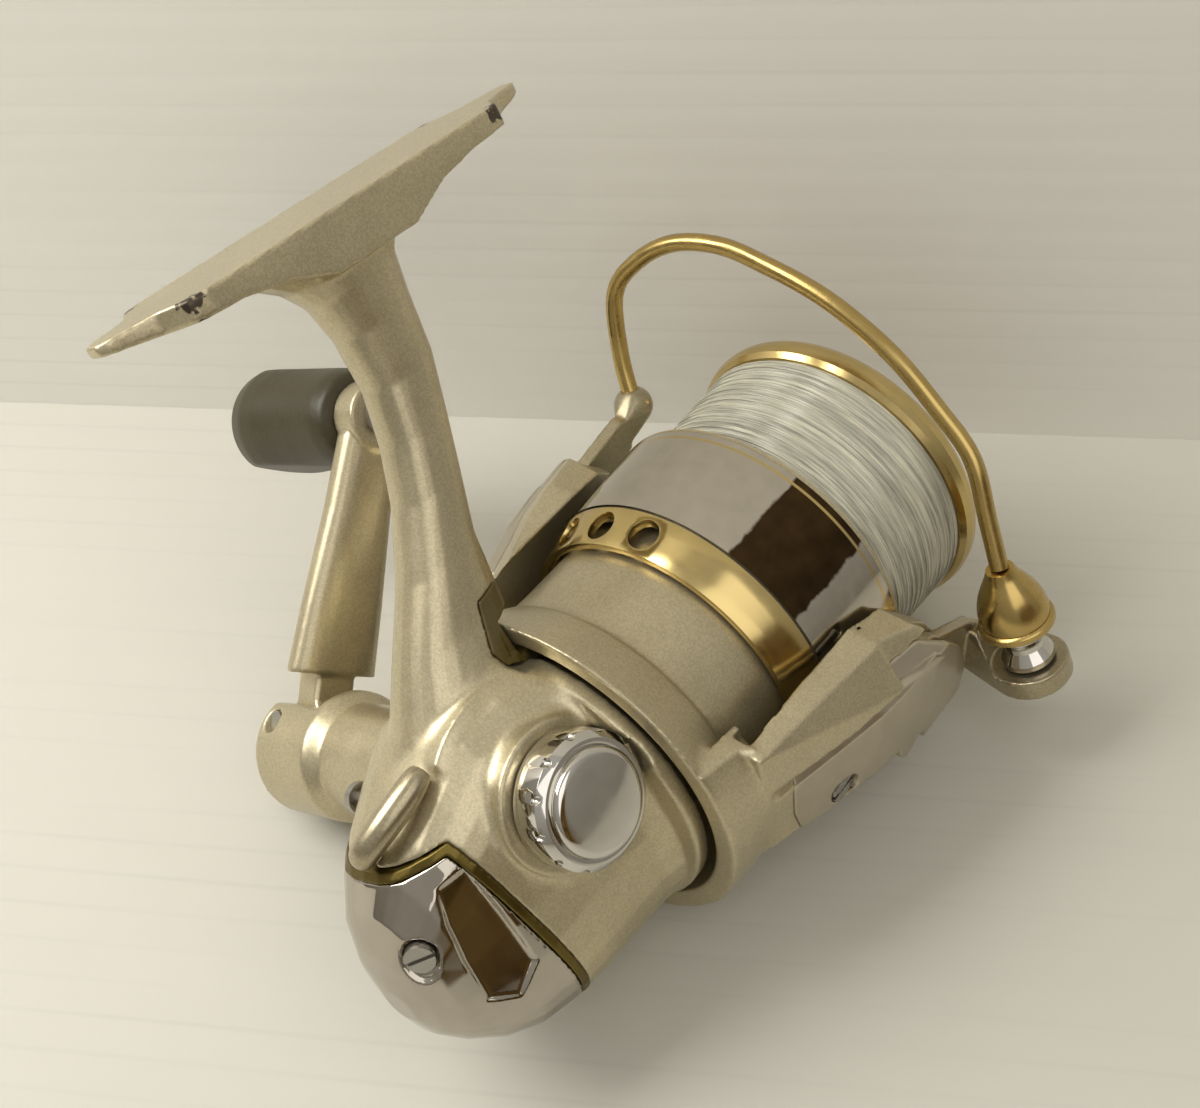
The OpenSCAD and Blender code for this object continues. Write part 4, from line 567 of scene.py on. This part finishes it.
def swept(path, radii, sides=16):
    """A round bar along a path; radii is one number or one for each point."""
    curve = bpy.data.curves.new("work", "CURVE")
    curve.dimensions = "3D"
    curve.bevel_depth = 1.0
    curve.bevel_resolution = sides // 4
    curve.use_fill_caps = True
    spline = curve.splines.new("POLY")
    spline.points.add(len(path) - 1)
    for i, (point, place) in enumerate(zip(spline.points, path)):
        point.co = (*place, 1)
        point.radius = radii[i] if isinstance(radii, (list, tuple)) else radii
    thing = bpy.data.objects.new("work", curve)
    bpy.context.scene.collection.objects.link(thing)
    bpy.context.view_layer.update()
    mesh = bpy.data.meshes.new_from_object(thing.evaluated_get(bpy.context.evaluated_depsgraph_get()))
    bm = bmesh.new()
    bm.from_mesh(mesh)
    bpy.data.meshes.remove(mesh)
    bpy.data.objects.remove(thing)
    bpy.data.curves.remove(curve)
    bmesh.ops.remove_doubles(bm, verts=bm.verts, dist=MERGE)
    bmesh.ops.recalc_face_normals(bm, faces=bm.faces)
    return bm


def rod(place, radius, depth, segments=48):
    """A round bar along local Z, from 0 to its depth."""
    bm = bmesh.new()
    bmesh.ops.create_cone(bm, cap_ends=True, segments=segments, radius1=radius, radius2=radius, depth=depth,
                          matrix=place @ shift(0, 0, depth / 2))
    return bm


# ---- operators ----


class ReelCastings(bpy.types.Operator):
    """The housing with its stem and foot, and the side plate."""

    bl_idname = "reel.castings"
    bl_label = "Castings"

    def execute(self, context):
        # Where the housing has wide fillets.
        def outer(place, normal):
            return normal.dot(place - Vector((place.x, 0, 6))) > 0

        def neck(place, normal):
            return 63 < place.z < 70.5 and abs(place.y) < 6.5

        def stem_root(place, normal):
            return 14 < place.z < 30 and outer(place, normal) and place.x < 12

        def cap_root(place, normal):
            return place.y < -6 and 8 < math.hypot(place.x, place.z - 7.2) < 13.5 and outer(place, normal)

        body = cast_skin(copy_of("body"), sizes().grain, 1, [(neck, 16), (stem_root, 30), (cap_root, 14)])
        put(body, "reel_body", "housing", "foot_lacquer", ["body"], sharp=60)
        plate = cast_skin(copy_of("side_plate"), 0.35, 2)
        put(plate, "side_cover", "housing", "champagne_lacquer", ["side_plate"], sharp=60)
        return {"FINISHED"}


class ReelRearCover(bpy.types.Operator):
    """The chrome cover at the rear, with its sunk side facet and screw seat, and its olive trim."""

    bl_idname = "reel.rear_cover"
    bl_label = "Rear cover"

    def execute(self, context):
        cover = cast_skin(copy_of("rear_cover"), 0.22, 3)
        facet = [(-18.2, -9.2, 9.2), (-13.8, -10.6, 9.2), (-13.6, -11.3, 2), (-13.6, -11.4, -6.6),
                 (-17.6, -10.2, -9.4), (-21.2, -9, -6.6), (-20.7, -9.2, -0.3), (-19.8, -9.3, 4.7)]
        sink(cover, facet, (0, -1, 0), 0.5, 0.7, 0.85)
        sink(cover, oval((-23.5, -6.5, 2.6), (-0.75, -0.62, 0.2), (0, 0, 1), 2.3, 3.1),
             (-1, -1, 0), 0.5, 0.5)
        relax(cover, cover.verts, 1)
        put(cover, "tail_cover", "housing", "tail_chrome", ["rear_cover"], sharp=70)
        trim = cast_skin(copy_of("rear_cover_trim"), 0.2, 2)
        put(trim, "tail_trim", "housing", "olive_plate", ["rear_cover_trim"], sharp=70)
        dress("turned_steel", "rear_cover_screw")
        return {"FINISHED"}


class ReelLever(bpy.types.Operator):
    """The anti-reverse lever's curved thumb tab."""

    bl_idname = "reel.lever"
    bl_label = "Anti-reverse lever"

    def execute(self, context):
        points = [(-19.3, -0.9, 13.9), (-19.9, -3, 15.6), (-17.6, -4.9, 17.1), (-14, -6.1, 18.4),
                  (-11.2, -6.5, 19.2), (-9.9, -6.5, 19.5)]
        radii = [1.5, 1.8, 1.85, 1.9, 1.7, 1.3]
        path = catmull(points, 6)
        widths = [w.x for w in catmull([(r, 0, 0) for r in radii], 6)]
        tab = swept(path, widths, 24)
        tab = joined(tab, rod(shift(-19.5, -0.9, 13.9) @ turn(90, "Y"), 1.2, 33.1, 32), "UNION")
        tab = cast_skin(tab, 0.22, 3)
        put(tab, "thumb_lever", "lever", "fine_lacquer", ["anti_reverse_lever"], sharp=70)
        return {"FINISHED"}


class ReelTripInsert(bpy.types.Operator):
    """The olive insert that trips the bail."""

    bl_idname = "reel.trip_insert"
    bl_label = "Trip insert"

    def execute(self, context):
        insert = cast_skin(copy_of("trip_insert"), 0.18, 2)
        put(insert, "stem_insert", "housing", "olive_plastic", ["trip_insert"], sharp=70)
        return {"FINISHED"}


class ReelScrewCap(bpy.types.Operator):
    """The chrome screw cap with its mirror disc."""

    bl_idname = "reel.screw_cap"
    bl_label = "Screw cap"

    def execute(self, context):
        put(rounded(copy_of("handle_cap"), 0.14), "screw_cap", "crank", "bright_chrome",
            ["handle_cap"], sharp=30)
        dome = [(0, -20.6), (2, -20.58), (4, -20.52), (5.5, -20.43), (6, -20.36), (6.3, -20.15),
                (6.5, -19.85), (6.5, -18.82), (0, -18.82)]
        put(turned(dome), "cap_disc", "crank", "bright_chrome", ["handle_cap_disc"],
            CRANK @ turn(90, "Z"), sharp=50)
        return {"FINISHED"}


class ReelRotor(bpy.types.Operator):
    """The rotor with its two arms."""

    bl_idname = "reel.rotor"
    bl_label = "Rotor"

    def execute(self, context):
        def arm_root(place, normal):
            """The outer skin where the arms rise from the cup."""
            radius = math.hypot(place.y, place.z)
            outward = normal.y * place.y + normal.z * place.z > 0.2 * radius
            return 11.5 < place.x < 27 and radius > 19 and outward

        rotor = copy_of("rotor")
        # The near arm's shoulder, full over the kick lever.
        shoulder = [(16.6, 5.6, 25.1), (16.6, 12.4, 24.2), (30, 5.6, 28.8), (30, 12, 24.9), (40, 5.6, 30.6),
                    (40, 11.5, 26.2)]
        shoulder += [(x, e, 24.2 if e < 6 else 21.7) for x, e, d in shoulder]
        corners = [rotor.verts.new(ARM @ Vector(p)) for p in shoulder]
        bmesh.ops.convex_hull(rotor, input=corners)
        rotor = cast_skin(rotor, 0.3, 3, [(arm_root, 30)])
        put(rotor, "rotor_casting", "rotor", "champagne_lacquer", ["rotor"], sharp=60)
        return {"FINISHED"}


class ReelArmCovers(bpy.types.Operator):
    """The satin covers on the rotor's arms, each with its tapered groove."""

    bl_idname = "reel.arm_covers"
    bl_label = "Arm covers"

    def execute(self, context):
        groove = [Vector(p) for p in (
            (32.8, -27.8, -8.6), (38.1, -28.75, -8.3), (46.6, -29.7, -9.9), (48.6, -29, -12.6),
            (46.3, -29.1, -11.8), (40.6, -28.85, -9.9))]
        out = Vector((0, -0.98, 0.17))
        for node, name, carry in (("arm_cover_near", "near_cover", Matrix.Identity(4)),
                                  ("arm_cover_far", "far_cover", TO_FAR)):
            cover = cast_skin(copy_of(node), 0.2, 2)
            sink(cover, [carry @ p for p in groove], carry.to_3x3() @ out, 0.5, 0.45)
            put(cover, name, "rotor", "satin_nickel", [node], sharp=70)
        dress("turned_steel", "arm_cover_screws", "bail_pivot_screws")
        return {"FINISHED"}


class ReelBail(bpy.types.Operator):
    """The bail's arm and lever, its gilt wire and bullet cone, and the line roller."""

    bl_idname = "reel.bail"
    bl_label = "Bail"

    def execute(self, context):
        arm = cast_skin(copy_of("bail_arm"), 0.22, 4)
        put(arm, "roller_arm", "bail", "fine_lacquer", ["bail_arm"], sharp=70)
        lever = cast_skin(copy_of("bail_lever"), 0.22, 4)
        put(lever, "wire_lever", "bail", "fine_lacquer", ["bail_lever"], sharp=70)
        wire = swept(catmull(self.wire_points(), 6), sizes().wire_radius, 24)
        put(wire, "gilt_wire", "bail", "gilt_plate", ["bail_wire"], ARM)
        profile = [(0, 0), (5.0, 0), (5.15, 0.2), (5.15, 0.9), (4.95, 1.15), (4.7, 1.25), (4.75, 2.4),
                   (4.55, 3.8), (4.1, 5.2), (3.45, 6.5), (2.8, 7.6), (2.3, 8.5), (1.9, 9.5), (0, 9.5)]
        smooth = [(p.x, p.y) for p in catmull([(r, x, 0) for r, x in profile[5:13]], 4)]
        cone = turned(profile[:5] + smooth + [profile[-1]], 64)
        cone.transform(turn(-90, "Y"))
        put(cone, "bullet_cone", "bail", "gilt_plate", ["roller_cone"], ROLLER, sharp=35)
        dress("bright_chrome", "line_roller")
        dress("turned_steel", "roller_screw", "roller_bush")
        return {"FINISHED"}

    def wire_points(self):
        """The wire's path from the far lever round the spool's front to the cone."""
        flat = [(6.9, -28.8), (12.9, -32.3), (20.8, -34.8), (26.3, -32), (30.5, -26.7), (32.5, -19.6),
                (32.4, -12.4), (31.1, -1.9), (27.7, 8.7), (23.2, 17), (18.9, 23.3), (12.1, 27.6)]
        return [(60 + 0.4 * y, y, z) for y, z in flat] + [(62.7, 6.8, 30.9)]


class ReelSpool(bpy.types.Operator):
    """The spool with its gilt ring and lip, the label band and the drag knob."""

    bl_idname = "reel.spool"
    bl_label = "Spool"

    def execute(self, context):
        dress("champagne_lacquer", "spool", "drag_knob")
        ring = rounded(copy_of("skirt_ring"), 0.12)
        put(ring, "holed_ring", "spool", "gilt_anodised", ["skirt_ring"], sharp=30)
        dress("gilt_anodised", "spool_lip")
        dress("label_foil", "label_band")
        return {"FINISHED"}


class ReelLine(bpy.types.Operator):
    """The wound line: close turns on a plain core, with a few crossing strands."""

    bl_idname = "reel.line"
    bl_label = "Line"

    # The drum's rear end, length and radius, and the wound line's outer radius at both ends.
    rear_x = 51.3
    length = 18.4
    drum_radius = 18.03
    rear_radius = 20.7
    front_radius = 21.3
    full_turns = 86
    crossing_turns = 15

    def execute(self, context):
        front_x = self.rear_x + self.length
        thick = sizes().line_diameter
        bed = thick * 0.8
        core = turned([(self.drum_radius, self.rear_x + 0.03), (self.rear_radius - bed, self.rear_x + 0.03),
                       (self.front_radius - bed, front_x - 0.03), (self.drum_radius, front_x - 0.03)])
        put(core, "line_bed", "spool", "nylon_line", ["line_core"])
        layers = self.layer(self.rear_x + 0.2, front_x - 0.2, self.full_turns, 0.0)
        layers += self.layer(front_x - 0.3, self.rear_x + 0.3, self.crossing_turns, bed)
        bm = swept(layers, thick / 2, 8)
        put(bm, "wound_line", "spool", "nylon_line", ["line_winding"], sharp=180)
        return {"FINISHED"}

    def layer(self, first, last, turns, lift):
        """One run of the line along the drum, a little uneven as it is wound under light pull."""
        steps = 48
        path = []
        for i in range(turns * steps + 1):
            part = i / (turns * steps)
            angle = math.tau * i / steps
            x = first + (last - first) * part + 0.03 * math.sin(angle * 1.37 + 2 * math.sin(angle * 0.11))
            taper = (self.front_radius - self.rear_radius) * (x - self.rear_x) / self.length
            radius = self.rear_radius + taper - 0.11 + lift + 0.015 * math.sin(angle * 0.83)
            path.append((x, radius * math.cos(angle), radius * math.sin(angle)))
        return path


class ReelHandle(bpy.types.Operator):
    """The folding handle with its joint, button, arm and knob."""

    bl_idname = "reel.handle"
    bl_label = "Handle"

    def execute(self, context):
        joint = cast_skin(copy_of("handle_joint"), 0.32, 3)
        put(joint, "fold_joint", "crank", "champagne_lacquer", ["handle_joint"], sharp=60)
        arm = cast_skin(copy_of("handle_arm"), 0.32, 3)
        put(arm, "crank_arm", "arm", "champagne_lacquer", ["handle_arm"], sharp=60)
        knob = cast_skin(copy_of("handle_knob"), 0.35, 10)
        put(knob, "soft_knob", "knob", "soft_rubber", ["handle_knob"], sharp=60)
        button = rounded(copy_of("handle_release_button"), 0.5, 3)
        put(button, "fold_button", "release_button", "bright_chrome",
            ["handle_release_button"])
        dress("turned_steel", "handle_fold_pin", "knob_shaft", "knob_cap", "handle_rod")
        return {"FINISHED"}


class ReelWorks(bpy.types.Operator):
    """Finishes for the gears, bearings, drag and other hidden pieces."""

    bl_idname = "reel.works"
    bl_label = "Works"

    def execute(self, context):
        dress("brass_gear", "drive_gear", "pinion_gear", "oscillating_gear", "pinion_bush", "spool_bush")
        dress("turned_steel", "side_plate_screws", "drive_bearings", "pinion_bearing", "bearing_retainer",
              "retainer_screws", "one_way_clutch", "guide_rod", "oscillating_axle", "main_shaft",
              "oscillation_slider", "click_wheel", "clutch_sleeve", "rotor_nut", "kick_lever",
              "drag_plates", "drag_retainer")
        dress("spring_steel", "bail_spring", "drag_spring")
        dress("wool_felt", "drag_felts")
        return {"FINISHED"}


# ---- stage ----

# The camera and the table in the drawing frame.
EYE = (-82.9, -176.9, 114.2)
RIGHT = Vector((0.60114, -0.64198, -0.47591))
UP = Vector((0.63068, 0.01537, 0.77589))
BACK = Vector((-0.49079, -0.76657, 0.41412))
LENS = 54.0
TABLE_UP = Vector((-0.037, -0.511, 0.859)).normalized()
TABLE_POINT = Vector((-2.5, 49.1, -0.15))
WALL_LEFT = Vector((27.0, 137.0, 53.5))
WALL_RIGHT = Vector((125.6, -19.0, -35.1))
# The two sheets, and how much paper one unit of the rib pattern covers along and across the ribs.
SHEET_WIDTH = 900
FLOOR_DEPTH = 900
WALL_HEIGHT = 600
PATTERN_ALONG = 100
PATTERN_ACROSS = 17.0
# The point that the lamps face.
LIT_POINT = (25, 5, 10)


def world_place(point):
    """A point of the drawing frame, in the world."""
    return AXIS @ Vector(point)


def world_direction(direction):
    """A direction of the drawing frame, in the world."""
    return (turn(-TILT, "Y") @ Vector(direction)).normalized()


class ReelStage(bpy.types.Operator):
    """The camera, the pale floor and wall, and soft studio light."""

    bl_idname = "reel.stage"
    bl_label = "Stage"

    def execute(self, context):
        self.camera()
        along = (WALL_RIGHT - WALL_LEFT).normalized()
        away = TABLE_UP.cross(along).normalized()
        if away.dot(BACK) > 0:
            away = -away
        middle = (WALL_LEFT + WALL_RIGHT) / 2
        middle -= TABLE_UP * (middle - TABLE_POINT).dot(TABLE_UP)
        self.sheet("floor", middle, along, -away, TABLE_UP, FLOOR_DEPTH, hue("floor"))
        self.sheet("wall", middle, along, TABLE_UP, -away, WALL_HEIGHT, hue("wall"))
        self.lamps(away, along)
        self.room()
        return {"FINISHED"}

    def camera(self):
        """The camera, set by its eye and axes in the drawing frame."""
        data = bpy.data.cameras.new("camera")
        data.lens = LENS
        data.sensor_width = 36.0
        data.sensor_fit = "HORIZONTAL"
        data.clip_start = 0.01
        data.clip_end = 20
        camera = bpy.data.objects.new("camera", data)
        bpy.context.scene.collection.objects.link(camera)
        axes = Matrix([world_direction(v) for v in (RIGHT, UP, BACK)]).transposed().to_4x4()
        camera.matrix_world = Matrix.Translation(world_place(EYE)) @ axes
        bpy.context.scene.camera = camera

    def sheet(self, name, edge_middle, along, out, normal, depth, colour):
        """A sheet of paper from the corner of floor and wall outward."""
        bm = bmesh.new()
        bmesh.ops.create_grid(bm, x_segments=1, y_segments=1, size=0.5)
        basis = Matrix([along * SHEET_WIDTH, out * depth, normal]).transposed().to_4x4()
        bm.transform(AXIS @ Matrix.Translation(edge_middle + out * depth / 2) @ basis)
        bm.normal_update()
        uv = bm.loops.layers.uv.new("sheet")
        for face in bm.faces:
            if face.normal.dot(world_direction(normal)) < 0:
                face.normal_flip()
            for loop in face.loops:
                offset = FROM_WORLD @ loop.vert.co - edge_middle
                loop[uv].uv = (offset.dot(along) / PATTERN_ALONG, offset.dot(out) / PATTERN_ACROSS)
        mesh = bpy.data.meshes.new(name)
        bm.to_mesh(mesh)
        bm.free()
        mesh.materials.append(ribbed_paper(name + "_paper", colour))
        thing = bpy.data.objects.new(name, mesh)
        bpy.context.scene.collection.objects.link(thing)

    def lamps(self, away, along):
        """A large key lamp on the left and a weaker one on the right."""
        self.area("key", TABLE_UP * 0.8 - along * 0.7 + away * 0.05, 420, 300, 2.1)
        self.area("fill", TABLE_UP * 0.8 + along * 0.4 - away * 0.5, 520, 420, 0.6)

    def room(self):
        """A pale room, lighter overhead, with one brown piece of furniture that polished parts show."""
        world = bpy.data.worlds.new("room")
        bpy.context.scene.world = world
        world.use_nodes = True
        world.node_tree.nodes.clear()
        place = add(world, "ShaderNodeTexCoord").outputs["Generated"]
        lift = add(world, "ShaderNodeVectorMath", {"operation": "DOT_PRODUCT"}, _0=place,
                   _1=tuple(world_direction(TABLE_UP))).outputs["Value"]
        high = add(world, "ShaderNodeMapRange", Value=lift, _1=-0.1, _2=0.9)
        pale = add(world, "ShaderNodeMix", {"data_type": "RGBA"}, _0=high, _6=linear("#A9A294"),
                   _7=linear("#EDEAE3")).outputs[2]
        toward = add(world, "ShaderNodeVectorMath", {"operation": "DOT_PRODUCT"}, _0=place,
                     _1=tuple(world_direction((-0.2, -0.89, -0.36)))).outputs["Value"]
        ragged = add(world, "ShaderNodeTexNoise", Vector=place, Scale=3.0, Detail=2.0)
        near = add(world, "ShaderNodeMath", {"operation": "MULTIPLY_ADD"}, _0=ragged, _1=0.1, _2=toward)
        brown = add(world, "ShaderNodeMapRange", Value=near, _1=0.93, _2=0.97)
        board = add(world, "ShaderNodeTexNoise", Vector=place, Scale=9.0, Detail=2.0)
        spread = add(world, "ShaderNodeMapRange", Value=board, _1=0.35, _2=0.65)
        timber = add(world, "ShaderNodeMix", {"data_type": "RGBA"}, _0=spread, _6=linear("#4E3A1C"),
                     _7=linear("#96794A")).outputs[2]
        # Polished parts show the timber; seen straight on, the room stays pale.
        straight = add(world, "ShaderNodeLightPath").outputs["Is Camera Ray"]
        less = add(world, "ShaderNodeMath", {"operation": "MULTIPLY_ADD"}, _0=straight, _1=-1.0, _2=brown)
        shown = add(world, "ShaderNodeMath", {"operation": "MAXIMUM"}, _0=less, _1=0.0)
        seen = add(world, "ShaderNodeMix", {"data_type": "RGBA"}, _0=shown, _6=pale, _7=timber).outputs[2]
        light = add(world, "ShaderNodeBackground", Color=seen, Strength=0.62)
        add(world, "ShaderNodeOutputWorld", Surface=light)

    def area(self, name, direction, distance, size, power):
        """A square lamp, its distance and size in millimetres and its power in watts."""
        data = bpy.data.lights.new(name, "AREA")
        data.shape = "SQUARE"
        data.size = size * MM
        data.energy = power
        data.color = (1.0, 0.985, 0.955)
        lamp = bpy.data.objects.new(name, data)
        bpy.context.scene.collection.objects.link(lamp)
        aim = world_direction(direction)
        centre = world_place(LIT_POINT)
        lamp.matrix_world = (Matrix.Translation(centre + aim * distance * MM)
                             @ aim.to_track_quat("Z", "Y").to_matrix().to_4x4())


class ReelPanel(bpy.types.Panel):
    """Lists the steps that build the reel."""

    bl_idname = "VIEW3D_PT_reel"
    bl_label = "Spinning reel"
    bl_space_type = "VIEW_3D"
    bl_region_type = "UI"
    bl_category = "Reel"

    def draw(self, context):
        for step in STEPS:
            self.layout.operator(step.bl_idname)


STEPS = (ReelCastings, ReelRearCover, ReelLever, ReelTripInsert, ReelScrewCap, ReelRotor, ReelArmCovers,
         ReelBail, ReelSpool, ReelLine, ReelHandle, ReelWorks, ReelStage)
CLASSES = (ReelSizes, ReelColours) + STEPS + (ReelPanel,)


def register():
    for cls in CLASSES:
        bpy.utils.register_class(cls)
    bpy.types.Scene.reel_sizes = bpy.props.PointerProperty(type=ReelSizes)
    bpy.types.Scene.reel_colours = bpy.props.PointerProperty(type=ReelColours)


def unregister():
    del bpy.types.Scene.reel_colours
    del bpy.types.Scene.reel_sizes
    for cls in reversed(CLASSES):
        bpy.utils.unregister_class(cls)


def main():
    register()
    bpy.context.scene.view_settings.view_transform = "Standard"
    for step in STEPS:
        group, name = step.bl_idname.split(".")
        getattr(getattr(bpy.ops, group), name)()


if __name__ == "__main__":
    main()
